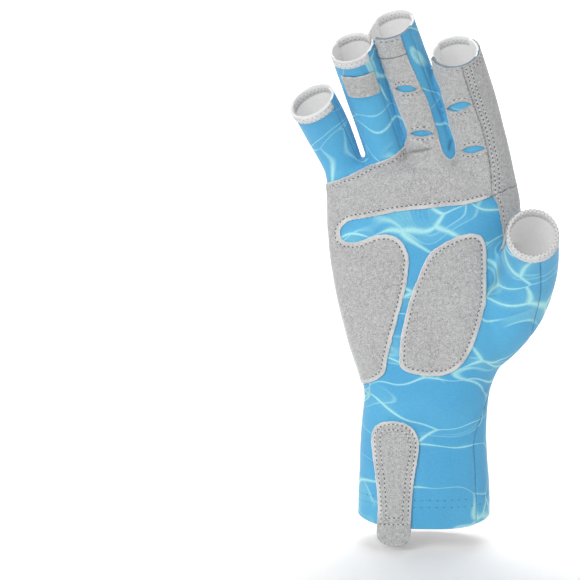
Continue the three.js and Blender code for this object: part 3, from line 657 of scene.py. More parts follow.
# %% Joints
# Where two pieces of suede meet, the joint is a thin dark line.
STRIP_JOINT_ROW = 200
JOINT_OVERRUN = 0.1 * MM
JOINT_WIDTH = 0.5 * MM
strip_joint = np.where((facing > 0) & (pixels[:, 1] < STRIP_JOINT_ROW), np.abs(side_edge), FAR)
cross_joint = np.where(side_edge < JOINT_OVERRUN, np.abs(above_cross), FAR)
ring_joint = np.where(ring["own"], np.abs(ring_height - RING_PATCH["high"]), FAR)
tip_joint = np.maximum(np.abs(middle_tip_edge), np.abs(palm_patch_edge))
joints = np.min([strip_joint, cross_joint, tip_joint, ring_joint], axis=0)
print("joints on", int((joints < JOINT_WIDTH).sum()), "points")

# %% [markdown]
# ## Folds
#
# Cloth that is pulled over a hand is never quite even. A soft noise makes it swell and sink by
# a fraction of a millimetre, and a few creases are pressed in where the fingers start. Folds go
# into the skin before anything is cut from it, so the patches follow the fabric under them.

# %% Folds and creases
SWELL = 0.35 * MM
SWELL_SCALE = 38
FINE_SCALE = 90
CALM_AT_LIPS = (3 * MM, 12 * MM)
# Columns: two ends in pixels, depth and half width in mm.
CREASES = (
    ((407, 153), (434, 148), 1.2, 0.9),
    ((393, 75.5), (411, 71), 0.4, 0.45),
    ((449, 152), (452, 139), 0.7, 0.9),
    ((474, 158), (484, 155), 0.3, 1.0),
    ((381, 158), (394, 146), 0.35, 1.1),
    ((362, 152), (364, 168), 0.5, 1.0),
    ((500, 262), (486, 302), 0.6, 2.6),
    ((360, 384), (372, 400), 0.35, 1.6),
    ((492, 384), (480, 396), 0.35, 1.6),
)
sink = np.array([
    noise.noise(Vector(p) * SWELL_SCALE) + 0.5 * noise.noise(Vector(p) * FINE_SCALE) for p in points
]) * SWELL
# How deep each point lies in a crease, kept for the painted shade that the finishes put there.
crease_shade_strength = np.zeros(count)
for start, end, depth, half_width in CREASES:
    start, run = np.array(start), np.array(end) - np.array(start)
    t = np.clip((pixels - start) @ run / (run @ run), 0, 1)
    away = np.hypot(*(pixels - start - t[:, None] * run).T) * PIXEL / (half_width * MM)
    strength = np.where(facing > 0, np.exp(-away ** 2) * (1 - (2 * t - 1) ** 4), 0)
    sink += depth * MM * strength
    crease_shade_strength = np.maximum(crease_shade_strength, strength * min(depth, 1))
to_lip = np.min([np.where(d["own"], d["length"] - d["distance"], FAR) for d in DIGITS.values()], axis=0)
sink *= ramp(np.minimum(to_lip, points[:, 2]), *CALM_AT_LIPS)
skin.vertices.foreach_set("co", (points - normals * sink[:, None]).ravel())
skin.update()
print("folds up to", round(float(np.abs(sink).max()) / MM, 2), "mm")

# %% [markdown]
# ## Cutting pieces out of the skin
#
# A cut splits each edge that crosses zero, joins the new points across the faces, and drops
# what lies outside. Further cuts at other distances drop nothing: they leave neat rows of
# points along the edge, for a rounded rim and for the dip that a row of stitches makes.

# %% Cutting
# A point this near to the level, as a share of an edge, takes the level instead of a new point.
SNAP = 0.1


def cut(mesh, layer, level=0.0, drop=True):
    """Splits a mesh where a number passes a level, and can drop the part above it."""
    level = float(np.float32(level))
    before = {}
    for edge in mesh.edges:
        a, b = edge.verts
        fa, fb = a[layer] - level, b[layer] - level
        if fa * fb < 0:
            t = fa / (fa - fb)
            if t < SNAP:
                before[a] = fa
            elif t > 1 - SNAP:
                before[b] = fb
    for vertex in before:
        vertex[layer] = level
    for edge in list(mesh.edges):
        a, b = edge.verts
        fa, fb = a[layer] - level, b[layer] - level
        if fa * fb < 0:
            _, new = bmesh.utils.edge_split(edge, a, fa / (fa - fb))
            new[layer] = level
            before[new] = 0
    bmesh.ops.connect_verts(mesh, verts=[v for v in before if v.is_valid])
    if drop:
        outside = []
        for face in mesh.faces:
            total = sum(v[layer] - level for v in face.verts)
            if total == 0:
                total = sum(before.get(v, 0) for v in face.verts)
            if total > 0:
                outside.append(face)
        bmesh.ops.delete(mesh, geom=outside, context="FACES")


# What the finishes read: mm from the edge, mm from a joint, how near a lip, how deep in a crease for its
# painted shade.
SHADES = {"from_edge": 0 * facing, "from_joint": 0 * facing, "at_lip": 0 * facing, "painted_crease_shade": crease_shade_strength}
CUT_MARGIN = 3 * MM


def cut_from_skin(fields, keep):
    """A mesh cut out of the skin; fields are numbers at its points, keep names those that trim it."""
    mesh = bmesh.new()
    mesh.from_mesh(skin)
    inside = np.all([fields[name] < CUT_MARGIN for name in keep], axis=0)
    mesh.verts.ensure_lookup_table()
    outside = [v for v, used in zip(mesh.verts[:], inside) if not used]
    bmesh.ops.delete(mesh, geom=outside, context="VERTS")
    kept = np.flatnonzero(inside)
    values = dict(fields, normal_x=normals[:, 0], normal_y=normals[:, 1], normal_z=normals[:, 2], **SHADES)
    for name, numbers in values.items():
        layer = mesh.verts.layers.float.new(name)
        for vertex, value in zip(mesh.verts, numbers[kept]):
            vertex[layer] = value
    for name in keep:
        cut(mesh, mesh.verts.layers.float[name])
    return mesh


def normal_at(mesh, vertex):
    """The skin's own normal at a point of a piece."""
    layers = mesh.verts.layers.float
    return Vector([vertex[layers["normal_" + axis]] for axis in "xyz"]).normalized()


def raised(mesh, height):
    """Moves every point out along the skin's own normal, by a height that may depend on the point."""
    moves = [(v, normal_at(mesh, v) * height(v)) for v in mesh.verts]
    for vertex, move in moves:
        vertex.co += move


def smooth_faces(thing):
    for polygon in thing.data.polygons:
        polygon.use_smooth = True


def new_object(name, data):
    """An object with smooth faces for a mesh."""
    thing = bpy.data.objects.new(name, data)
    bpy.context.scene.collection.objects.link(thing)
    smooth_faces(thing)
    return thing


def as_object(mesh, name):
    """A new object from a mesh, without loose bits."""
    loose = [v for v in mesh.verts if not v.link_faces]
    bmesh.ops.delete(mesh, geom=loose, context="VERTS")
    data = bpy.data.meshes.new(name)
    mesh.to_mesh(data)
    mesh.free()
    return new_object(name, data)


# %% [markdown]
# ## Stitches
#
# One stitch is a short fat grain of thread, and one needle hole is a small dimple whose dark tone is
# painted shade. Each is modelled once and copied along the rows. The rows are the level lines that the cuts
# have left on a patch, walked from edge to edge and divided evenly.

# %% One stitch and one needle hole
STITCH_SIDES = 6
HOLE_RIM = 0.45
HOLE_DEPTH = 0.3
deselect_all()
bpy.ops.mesh.primitive_uv_sphere_add(
    segments=STITCH_SIDES, ring_count=4, radius=1, rotation=(0, math.pi / 2, 0))
bpy.ops.object.transform_apply(location=False, rotation=True, scale=False)
one_stitch = bpy.context.object
one_stitch.name = "one_stitch"
deselect_all()
bpy.ops.mesh.primitive_circle_add(vertices=STITCH_SIDES, radius=1, fill_type="NGON")
bpy.ops.object.mode_set(mode="EDIT")
bpy.ops.mesh.inset(thickness=HOLE_RIM, depth=-HOLE_DEPTH)
bpy.ops.object.mode_set(mode="OBJECT")
one_hole = bpy.context.object
one_hole.name = "one_hole"


def shape_of(thing):
    corners = np.array([v.co for v in thing.data.vertices])
    return corners, [tuple(p.vertices) for p in thing.data.polygons]


stitch_shape, hole_shape = shape_of(one_stitch), shape_of(one_hole)
for thing in (one_stitch, one_hole):
    bpy.data.objects.remove(thing)
print("a stitch has", len(stitch_shape[1]), "faces, a hole", len(hole_shape[1]))


# %% Copies and rows
def copies(name, shape, places):
    """One object of many copies; a place is centre, forward, up, and half sizes along, across and up."""
    corners, faces = shape
    all_corners, all_faces = [], []
    for number, (centre, forward, up, sizes) in enumerate(places):
        forward = forward / np.linalg.norm(forward)
        sideways = np.cross(up, forward)
        sideways /= np.linalg.norm(sideways)
        up = np.cross(forward, sideways)
        axes = np.array([forward * sizes[0], sideways * sizes[1], up * sizes[2]])
        all_corners.append(centre + corners @ axes)
        all_faces += [tuple(i + number * len(corners) for i in face) for face in faces]
    data = bpy.data.meshes.new(name)
    data.from_pydata(np.vstack(all_corners).tolist(), [], all_faces)
    data.update()
    return new_object(name, data)


SAME_LEVEL = 1e-7


def level_lines(mesh, layer, level, limits):
    """Lines of places and normals where a number has one level, and others are below their limits."""
    at_level = {v for v in mesh.verts if abs(v[layer] - level) < SAME_LEVEL}
    steps = {v: [e.other_vert(v) for e in v.link_edges if e.other_vert(v) in at_level] for v in at_level}
    lines, used = [], set()
    for first in sorted(at_level, key=lambda v: (len(steps[v]) != 1, v.index)):
        if first in used:
            continue
        line = [first]
        used.add(first)
        while True:
            onward = [v for v in steps[line[-1]] if v not in used]
            if not onward:
                break
            line.append(onward[0])
            used.add(onward[0])
        if len(line) > 3 and line[0] in steps[line[-1]]:
            line.append(line[0])
        clear = [all(v[other] < limit for other, limit in limits.items()) for v in line]
        begin = 0
        for i in range(len(line) + 1):
            if i == len(line) or not clear[i]:
                if i - begin > 3:
                    part = line[begin:i]
                    lines.append(np.array([[*v.co, *normal_at(mesh, v)] for v in part]))
                begin = i + 1
    return lines


def evenly(line, pitch, start=0.5):
    """Places along a line at an even pitch: centre, direction and normal."""
    kept = line.copy()
    for _ in range(3):
        kept[1:-1] = 0.5 * kept[1:-1] + 0.25 * (kept[:-2] + kept[2:])
    run = np.concatenate([[0], np.cumsum(np.linalg.norm(np.diff(kept[:, :3], axis=0), axis=1))])
    number = int(run[-1] / pitch)
    where = (np.arange(number) + start) * run[-1] / max(number, 1)
    centre = np.stack([np.interp(where, run, kept[:, c]) for c in range(6)], axis=1)
    ahead = np.stack([np.interp(where + pitch / 4, run, kept[:, c]) for c in range(3)], axis=1)
    behind = np.stack([np.interp(where - pitch / 4, run, kept[:, c]) for c in range(3)], axis=1)
    return [(c[:3], a - b, c[3:]) for c, a, b in zip(centre, ahead, behind) if np.linalg.norm(a - b) > 0]


STITCH_PITCH = 2.2 * MM
# Half sizes along the row, across it and up.
STITCH_SIZE = (0.62 * MM, 0.25 * MM, 0.18 * MM)
HOLE_SIZE = (0.6 * MM, 0.3 * MM, 0.2 * MM)
HOLE_LIFT = 0.12 * MM
UNEVEN = 0.12 * MM
UNEVEN_LENGTH = 0.2
threads, holes = {}, {}
hand_sewn = np.random.default_rng(5)


def sew(name, lines, pitch=STITCH_PITCH, size=STITCH_SIZE, hole=HOLE_SIZE):
    """Adds a row of stitches, with a needle hole between each two, to the stitches of a patch."""
    for line in lines:
        for centre, forward, up in evenly(line, pitch):
            threads.setdefault(name, []).append((centre, forward, up, size))
        for centre, forward, up in evenly(line, pitch, 0):
            off = hand_sewn.uniform(-UNEVEN, UNEVEN, 3)
            place = centre + up * HOLE_LIFT + off - up * (up @ off)
            longer = 1 + UNEVEN_LENGTH * off[0] / UNEVEN
            holes.setdefault(name, []).append((place, forward, up, (hole[0] * longer, hole[1], hole[2])))


# %% [markdown]
# ## The fabric
#
# The back, the palm and the three strips between the fingers are cut with their edges drawn in
# a little, so that each seam shows as a fine valley. Solidify then gives the cloth its thickness
# inwards, and its second material, the white inside of the knit, shows in the openings.

# %% Fabric panels
FABRIC_WALL = 1.0 * MM
SEAM_DEPTH = 0.4 * MM
SEAM_REACH = 0.7 * MM
FAINT_SEAM = 0.28 * MM
LIP_EDGE = 0.01 * MM
HEM_ROWS = (11.5 * MM, 14.9 * MM)
HEM_PITCH = 3.4 * MM
HEM_STITCH = (1.1 * MM, 0.16 * MM, 0.1 * MM)
HEM_HOLE = (0.32 * MM, 0.28 * MM, 0.12 * MM)
HEM_CLEAR = 2 * MM
pieces = {}
# The lips that no tape covers, in front on two fingers, get a shaded edge.
BARE_LIP_ANGLE = 72
NO_BARE_LIP = -180
front_lips = np.max([
    np.where(digit["own"], BARE_LIP_ANGLE - np.abs(digit["angle"]), NO_BARE_LIP) for digit in (index, middle)
], axis=0)


def fabric_piece(name, fields, seams, hem_rows=()):
    """A panel of cloth: its edges dip into seams, and rows of stitches can run at some heights."""
    trims = dict(fields, past_edge=past_edge)
    mesh = cut_from_skin(dict(trims, level=points[:, 2], front=front_lips), list(trims))
    at = mesh.verts.layers.float
    layers = [at[seam] for seam in seams]
    for layer in layers:
        cut(mesh, layer, -SEAM_REACH, drop=False)
    for row in hem_rows:
        cut(mesh, at["level"], row, drop=False)
    raised(mesh, lambda v: -SEAM_DEPTH * math.exp(-(max(v[layer] for layer in layers) / SEAM_REACH) ** 2))
    rim_layer, lip_layer = at["from_edge"], at["at_lip"]
    trim_layer, front_layer = at["past_edge"], at["front"]
    fainter = [0 if seam == "side" else FAINT_SEAM for seam in seams]
    for vertex in mesh.verts:
        vertex[rim_layer] = max(vertex[layer] - less for layer, less in zip(layers, fainter)) / MM
        vertex[lip_layer] = float(abs(vertex[trim_layer]) < LIP_EDGE and vertex[front_layer] > 0)
    for row in hem_rows:
        clear = {layer: -HEM_CLEAR for layer in layers}
        sew(name, level_lines(mesh, at["level"], row, clear), HEM_PITCH, HEM_STITCH, HEM_HOLE)
    thing = as_object(mesh, name)
    thing.data.materials.append(None)
    thing.data.materials.append(None)
    apply_modifier(thing, "SOLIDIFY", thickness=FABRIC_WALL, offset=-1, material_offset=1,
                   material_offset_rim=1, use_quality_normals=True)
    pieces[name] = thing
    print(name, len(thing.data.polygons), "faces")


fabric_piece("palm_fabric", dict(side=to_back, four=-between_fingers), ["side", "four"], HEM_ROWS)
fabric_piece("back_fabric", dict(side=-to_back, four=-between_fingers), ["side", "four"], HEM_ROWS)
for pair, distance in fourchettes.items():
    fabric_piece("fourchette_" + pair + "_fabric", dict(four=distance), ["four"])

# %% [markdown]
# ## The suede patches
#
# The patches are thin suede, cut with a bare edge and sewn down near it. Each is cut from the
# skin and lifted over the fabric. Its rim is rounded, and it dips where the row of stitches
# pulls it down. Solidify gives it its thickness.

# %% Suede patches
SUEDE_THICKNESS = 0.75 * MM
PATCH_GAP = 0.15 * MM
RIM = 0.3 * MM
RIM_FALL = 0.22 * MM
ROW_INSET = 2.2 * MM
ROW_DIP = 0.32 * MM
ROW_WIDTH = 0.65 * MM
LIP_GAP = 0.1 * MM
LIP_OVERHANG = 0.3 * MM
TAB_THICKNESS = 1.4 * MM
TAB_ROWS = (1.5 * MM, 3.9 * MM)
# The pale rim, partly the suede's own paler edge and partly a painted highlight, is narrower on the fingers,
# from this height on.
FINGERS_FROM = 158 * MM
RIM_NARROWS_OVER = 8 * MM
RIM_NARROWER = 1.6


def patch(name, edges, rows=(), guides=(), thickness=SUEDE_THICKNESS):
    """A patch of suede.

    Edges are the named numbers that trim it. A row of stitches is the number it follows, its inset
    and the limits of other numbers; guides are numbers that only rows follow.
    """
    plain_end = np.where(tab_cross > TAB_ROWS[0], 0, FAR)
    cross_end = above_cross + FAR * (side_edge > 0)
    seams = (side_edge, past_edge, cross_end, middle_tip_edge, -slit_edges, plain_end)
    seamed = np.abs(seams).min(axis=0)
    guides = dict(guides, seamed=seamed, height=points[:, 2] - FINGERS_FROM, joint=joints)
    mesh = cut_from_skin(dict(edges, **guides), list(edges))
    at = mesh.verts.layers.float
    layers = {field: at[field] for field in (*edges, *guides)}
    rows = [(layers[field], inset, {layers[other]: limit for other, limit in limits.items()})
            for field, inset, limits in rows]
    for edge in edges:
        cut(mesh, layers[edge], -RIM, drop=False)
    for followed, inset, _ in rows:
        cut(mesh, followed, -inset, drop=False)
        cut(mesh, followed, -inset - ROW_WIDTH, drop=False)

    def height(vertex):
        rise = PATCH_GAP + thickness
        nearest = max(vertex[layers[edge]] for edge in edges)
        rise -= RIM_FALL * max(1 + nearest / RIM, 0) ** 2
        for followed, inset, limits in rows:
            if all(vertex[other] < limit for other, limit in limits.items()):
                rise -= ROW_DIP * math.exp(-((vertex[followed] + inset) / ROW_WIDTH) ** 2)
        return rise

    raised(mesh, height)
    for vertex in mesh.verts:
        from_rim = max(vertex[layers[edge]] for edge in edges)
        narrower = 1 + RIM_NARROWER * min(max(vertex[layers["height"]] / RIM_NARROWS_OVER, 0), 1)
        vertex[at["from_edge"]] = min(from_rim * narrower, vertex[layers["seamed"]] - 2 * ROW_INSET) / MM
        vertex[at["from_joint"]] = vertex[layers["joint"]] / MM
    for followed, inset, limits in rows:
        sew(name, level_lines(mesh, followed, -inset, limits))
    thing = as_object(mesh, name)
    apply_modifier(thing, "SOLIDIFY", thickness=thickness, offset=-1, use_quality_normals=True)
    pieces[name] = thing
    print(name, len(thing.data.polygons), "faces,", len(threads.get(name, [])), "stitches")


LIP_ROW = ("lip", 1.5 * MM, dict(edge=-1.4 * MM))
SLIT_ROW = ("slit", 1.7 * MM, dict(edge=-2.6 * MM))
SEAM_ROWS = (1.7 * MM, 3.7 * MM)
TAB_CROSSINGS = (-1.7 * MM, 1.5 * MM)
LIP_TURN = 8
STRIP_CLEAR = 3 * MM
TURNED_AWAY = 0.6
# The palm patch has no row of stitches above this height in the picture, nor right of and above
# this corner.
STRIPS_ABOVE = 143
RING_SIDE = (406, 175)
short_of_lip = past_edge + LIP_GAP - (LIP_GAP + LIP_OVERHANG) * ramp(front_lips, -LIP_TURN, LIP_TURN)
beside_ring = np.minimum(pixels[:, 0] - RING_SIDE[0], RING_SIDE[1] - pixels[:, 1])
finger_strips = np.maximum(STRIPS_ABOVE - pixels[:, 1], beside_ring) * PIXEL
on_palm = dict(strips=0, seam=0, turned=0)
palm_guides = dict(lip=short_of_lip, strips=finger_strips, seam=STRIP_CLEAR - side_edge,
                   turned=(TURNED_AWAY - facing) * MM)
patch("palm_suede", dict(edge=np.maximum(palm_patch_edge, short_of_lip), slit=-slit_edges),
      (("edge", ROW_INSET, on_palm), SLIT_ROW, LIP_ROW), palm_guides)
patch("middle_tip_suede", dict(edge=np.maximum(middle_tip_edge, short_of_lip)), (LIP_ROW,),
      dict(lip=short_of_lip))
patch("ring_suede", dict(edge=ring_patch_edge))
patch("thenar_suede", dict(edge=thenar_edge), (("edge", ROW_INSET, {}),))
strip_rows = [("edge", inset, {}) for inset in SEAM_ROWS]
strip_edge = np.maximum(side_edge, short_of_lip)
patch("index_side_suede", dict(edge=strip_edge, cross=above_cross), strip_rows)
patch("crotch_suede", dict(edge=strip_edge, cross=-above_cross), strip_rows[:1])
tab_rows = [("edge", inset, dict(cross=-TAB_CROSSINGS[0])) for inset in TAB_ROWS]
tab_rows += [("cross", inset, dict(edge=-TAB_ROWS[0])) for inset in TAB_CROSSINGS]
patch("pull_tab_suede", dict(edge=tab_edge), tab_rows, dict(cross=tab_cross), TAB_THICKNESS)

# %% [markdown]
# ## The taped openings
#
# A white tape is folded over each lip. Its section is a U: it is drawn as a closed profile and
# extruded round the finger, step by step, so it hugs the cloth on both sides.

# %% Hem tapes
HEM_HEIGHT = 4 * MM
THUMB_HEM_HEIGHT = 4.6 * MM
HEM_STEP = 6
ZIGZAG_STEP = 1.15 * MM
ZIGZAG_SIZE = (0.95 * MM, 0.16 * MM, 0.13 * MM)
ZIGZAG_HOLE = (0.34 * MM, 0.22 * MM, 0.1 * MM)
ZIGZAG_LEVEL = 0.52
ZIGZAG_SLANT = 0.75
HOLE_OUT = 0.08 * MM
TAPE_OUTER = 0.5 * MM
TAPE_INNER = -1.16 * MM
HEM_END = (-0.9, -0.1)
FULL_TURN = 359
WELD_WITHIN = 0.02 * MM
LIP_BAND = 3 * MM
# Degrees left free at the ends of a tape, and beside the strips between the fingers.
ZIGZAG_CLEAR = 5
STRIP_ANGLE_CLEAR = 2
SUEDE_ANGLE_CLEAR = 3
# How far a needle hole lies from its stitch, as a share of the hem's height.
OUTER_FOOT = 0.25
INNER_FOOT = 0.2
# The row over the thumb's lip: rise as a share of the height, way past the lip, middle and swing
# from face to face in mm, slant, and how far its holes lie away in mm.
TOP_RISE = 0.55
TOP_PAST = 0.32 * MM
TOP_MIDDLE = -0.4
TOP_SWING = 0.25
TOP_SLANT = 0.5
TOP_FOOT = 0.3
# Columns: out of the cloth's face in mm, share of the hem's height below the lip, mm past the lip.
HEM_PROFILE = ((0.05, 1, 0), (0.3, 1.02, 0), (0.42, 0.97, 0), (0.48, 0.6, 0), (0.46, 0.25, 0),
               (0.38, 0, 0.08), (0.15, 0, 0.28), (-0.45, 0, 0.34), (-0.95, 0, 0.26), (-1.12, 0, 0.06),
               (-1.15, 0.3, 0), (-1.1, 0.98, 0), (-1.02, 1, 0), (-1.01, 0.05, 0), (-0.9, 0, 0.05),
               (-0.05, 0, 0.06), (0.04, 0.05, 0))


def cloth_shrink(digit):
    """How far smoothing has drawn the skin in near a lip."""
    near = digit["own"] & (np.abs(digit["distance"] - digit["length"] + HEM_HEIGHT) < LIP_BAND)
    return float(np.median(digit["close"][near]) - 1) * digit["width"] / 2


def hem(name, digit_name, start, end, height=HEM_HEIGHT):
    """A tape folded over a lip, from one angle to another, with a zigzag of stitches."""
    digit = DIGITS[digit_name]
    shrink = cloth_shrink(digit)
    whole = abs(end - start) >= FULL_TURN
    steps = max(int(round(abs(end - start) / HEM_STEP)), 2)

    def lip_at(angle):
        return digit["length"] + LIP_TILT[digit_name] * math.sin(math.radians(angle))

    rings = [np.array([
        around(digit, lip_at(angle) - share * height + past * MM, angle, out * MM + shrink)
        for out, share, past in HEM_PROFILE
    ]) for angle in np.linspace(start, end, steps + 1)]
    if not whole:
        for angle, number in ((start, 0), (end, -1)):
            rings[number] = np.array([
                around(digit, lip_at(angle) - share * height, angle, np.clip(out, *HEM_END) * MM + shrink)
                for out, share, past in HEM_PROFILE
            ])
    thing = tube(name, rings)
    activate(thing)
    bpy.ops.object.mode_set(mode="EDIT")
    mesh = bmesh.from_edit_mesh(thing.data)
    if whole:
        bmesh.ops.delete(mesh, geom=[f for f in mesh.faces if len(f.verts) > 4], context="FACES_ONLY")
        bmesh.update_edit_mesh(thing.data)
        bpy.ops.mesh.select_all(action="SELECT")
        bpy.ops.mesh.remove_doubles(threshold=WELD_WITHIN)
    bpy.ops.mesh.select_all(action="SELECT")
    bpy.ops.mesh.normals_make_consistent(inside=False)
    bpy.ops.object.mode_set(mode="OBJECT")
    smooth_faces(thing)
    pieces[name] = thing
    print(name, len(thing.data.polygons), "faces; the skin was drawn in by", round(shrink / MM, 2), "mm")

    def zig(place, across, along, up, foot):
        """One slanting stitch, and the hole at its foot."""
        threads.setdefault(name, []).append((place, along + across, up, ZIGZAG_SIZE))
        holes.setdefault(name, []).append((place + foot + up * HOLE_OUT, across, up, ZIGZAG_HOLE))

    number = int(math.radians(abs(end - start)) * digit["width"] / 2 / ZIGZAG_STEP)
    for i, angle in enumerate(np.linspace(start + ZIGZAG_CLEAR, end - ZIGZAG_CLEAR, number)):
        way = 1 if i % 2 else -1
        base = lip_at(angle) - ZIGZAG_LEVEL * height
        centre, along = route_at(digit, base)[:2]
        outer = around(digit, base, angle, TAPE_OUTER + shrink)
        up = (outer - centre) / np.linalg.norm(outer - centre)
        across = np.cross(up, along)
        slant = ZIGZAG_SLANT * way * along
        zig(outer, across, slant, up, along * way * OUTER_FOOT * height)
        inner = around(digit, base, angle, TAPE_INNER + shrink)
        zig(inner, across, slant, -up, along * way * INNER_FOOT * height)
        if whole:
            out = (TOP_SWING * way + TOP_MIDDLE) * MM
            top = around(digit, base + TOP_RISE * height + TOP_PAST, angle, out + shrink)
            zig(top, across, TOP_SLANT * way * up, along, up * way * TOP_FOOT * MM)


def clear_of(name):
    """Half the angle that the strip between two fingers takes up on a finger."""
    return math.degrees(FOURCHETTE_WIDTH / DIGITS[name]["width"]) + STRIP_ANGLE_CLEAR


hem("hem_index_tape", "index", INDEX_BACK_ANGLE + SUEDE_ANGLE_CLEAR, 270 - clear_of("index"))
hem("hem_middle_tape", "middle", 90 + clear_of("middle"), 270 - clear_of("middle"))
hem("hem_ring_palm_tape", "ring", clear_of("ring") - 90, 90 - clear_of("ring"))
hem("hem_ring_back_tape", "ring", 90 + clear_of("ring"), 270 - clear_of("ring"))
hem("hem_little_tape", "little", clear_of("little") - 270, 90 - clear_of("little"))
hem("hem_thumb_tape", "thumb", 0, 360, THUMB_HEM_HEIGHT)

# %% Threads and needle holes
for ending, shape, rows in (("_thread", stitch_shape, threads), ("_holes", hole_shape, holes)):
    for name, places in rows.items():
        pieces[name + ending] = copies(name + ending, shape, places)
print(sum(len(p) for p in threads.values()), "stitches in", len(threads), "pieces")

# %% [markdown]
# ## Finishes
#
# Every finish is made of nodes on Object coordinates, so it sits still on the glove. Effects
# that several finishes share, such as the knit and the fibres, are node groups. Their inputs
# are sizes and strengths, and they put out values that change over the surface.

# %% Building node trees
def linear(*screen):
    """A colour read from a screen, as Blender wants it."""
    shares = [value / 255 for value in screen]
    return tuple(c / 12.92 if c <= 0.04045 else ((c + 0.055) / 1.055) ** 2.4 for c in shares) + (1,)


def add(tree, kind, inputs=(), **settings):
    """Adds a node; inputs are values or the outputs of other nodes, by name or number."""
    made = tree.nodes.new("ShaderNode" + kind)
    for setting, value in settings.items():
        setattr(made, setting, value)
    for socket, value in dict(inputs).items():
        if isinstance(value, bpy.types.NodeSocket):
            tree.links.new(value, made.inputs[socket])
        else:
            made.inputs[socket].default_value = value
    return made


def maths(tree, operation, *values, clamp=False):
    return add(tree, "Math", dict(enumerate(values)), operation=operation, use_clamp=clamp).outputs[0]


def step_between(tree, value, low, high, start=0.0, end=1.0):
    """A value brought from one range smoothly into another."""
    inputs = {"Value": value, "From Min": low, "From Max": high, "To Min": start, "To Max": end}
    return add(tree, "MapRange", inputs, interpolation_type="SMOOTHSTEP").outputs[0]


def mix_colours(tree, share, one, other):
    return add(tree, "Mix", {0: share, 6: one, 7: other}, data_type="RGBA").outputs[2]


def scaled_by(tree, vector, scale):
    return add(tree, "VectorMath", {0: vector, "Scale": scale}, operation="SCALE").outputs[0]


def stored(tree, name):
    """A number that the pieces keep at their points."""
    return add(tree, "Attribute", attribute_name=name).outputs["Fac"]


def new_group(name, inputs, outputs):
    """A shader node group with named sockets; inputs have a type and a first value."""
    group = bpy.data.node_groups.new(name, "ShaderNodeTree")
    for label, (kind, value) in inputs.items():
        socket = group.interface.new_socket(label, in_out="INPUT", socket_type="NodeSocket" + kind)
        if value is not None:
            socket.default_value = value
    for label, kind in outputs.items():
        group.interface.new_socket(label, in_out="OUTPUT", socket_type="NodeSocket" + kind)
    return group, group.nodes.new("NodeGroupInput").outputs, group.nodes.new("NodeGroupOutput").inputs


def use(tree, group, inputs):
    return add(tree, "Group", inputs, node_tree=group).outputs


def new_material(name, colour, roughness, **constants):
    """A material with its shader; constants are put straight on the shader's own sockets."""
    material = bpy.data.materials.new(name)
    material.use_nodes = True
    material.diffuse_color = colour
    tree = material.node_tree
    shader = tree.nodes["Principled BSDF"]
    shader.inputs["Base Color"].default_value = colour
    shader.inputs["Roughness"].default_value = roughness
    for socket, value in constants.items():
        shader.inputs[socket.replace("_", " ")].default_value = value
    return material, tree, shader


def coordinates(tree):
    return add(tree, "TexCoord").outputs["Object"]


def finish_surface(tree, shader, colour, height, strength, depth):
    """Gives a shader its colour and a fine relief, with a strength and a depth in mm."""
    tree.links.new(colour, shader.inputs["Base Color"])
    relief = add(tree, "Bump", {"Strength": strength, "Distance": depth * MM, "Height": height})
    tree.links.new(relief.outputs[0], shader.inputs["Normal"])


# %% Print of light on water
# Sunlight on the floor of a pool draws thin bright lines that fork, loop and open into pale
# ribbons. The borders of a warped cell pattern give the forks. The level lines of soft noise
# give the loops, and the band between two levels gives a ribbon.
water, given, result = new_group("water_print", {
    "Vector": ("Vector", None), "Cells per metre": ("Float", 39.0), "Warp": ("Float", 0.046),
    "Width": ("Float", 0.04),
}, {"Lines": "Float", "Ribbons": "Float", "Depth": "Float"})


def soft_noise(vector, scale, seed, detail=0.0):
    inputs = {"Vector": vector, "Scale": scale, "Detail": detail, "W": seed}
    return add(water, "TexNoise", inputs, noise_dimensions="4D")


def pushed(vector, scale, amount, seed):
    """Places pushed about by soft noise at the coordinates that are given."""
    push = soft_noise(given["Vector"], scale, seed).outputs["Color"]
    push = add(water, "VectorMath", {0: push, 1: (0.5, 0.5, 0.5)}, operation="SUBTRACT").outputs[0]
    push = scaled_by(water, push, amount)
    return add(water, "VectorMath", {0: vector, 1: push}, operation="ADD").outputs[0]


def level_line(value, level, width):
    """One where a value is at a level, falling to nothing at a width from it."""
    away = maths(water, "ABSOLUTE", maths(water, "SUBTRACT", value, level))
    return step_between(water, away, 0.0, width, 1.0, 0.0)


def where_patchy(value, low, high, start=0.0, end=1.0):
    """A value made stronger in some places and weaker in others."""
    return maths(water, "MULTIPLY", value, step_between(water, patchy, low, high, start, end))


places = pushed(given["Vector"], 20.0, given["Warp"], 3.7)
places = pushed(places, 48.0, maths(water, "MULTIPLY", given["Warp"], 0.27), 9.1)
flattened = add(water, "VectorMath", {0: places, 1: (0.68, 0.68, 1.25)}, operation="MULTIPLY").outputs[0]
cells = add(water, "TexVoronoi", {"Vector": flattened, "Scale": given["Cells per metre"]},
            feature="DISTANCE_TO_EDGE").outputs["Distance"]
patchy = soft_noise(given["Vector"], 34.0, 1.3, 1.0).outputs["Fac"]
line_width = where_patchy(given["Width"], 0.38, 0.66, 0.45, 1.3)
forks = where_patchy(step_between(water, cells, 0.0, line_width, 1.0, 0.0), 0.36, 0.56, 0.5)
swirl = soft_noise(flattened, 30.0, 5.2).outputs["Fac"]
loops = where_patchy(level_line(swirl, 0.46, 0.012), 0.62, 0.45, 0.15, 0.85)
far_side = where_patchy(level_line(swirl, 0.53, 0.011), 0.44, 0.6, 0.0, 0.75)
echo = level_line(maths(water, "PINGPONG", swirl, 0.018), 0.009, 0.004)
ripples = where_patchy(echo, 0.6, 0.7, 0.0, 0.16)
bright = maths(water, "MAXIMUM", forks, loops)
faint = maths(water, "MAXIMUM", far_side, ripples)
lines = maths(water, "MAXIMUM", bright, faint)
water.links.new(lines, result["Lines"])
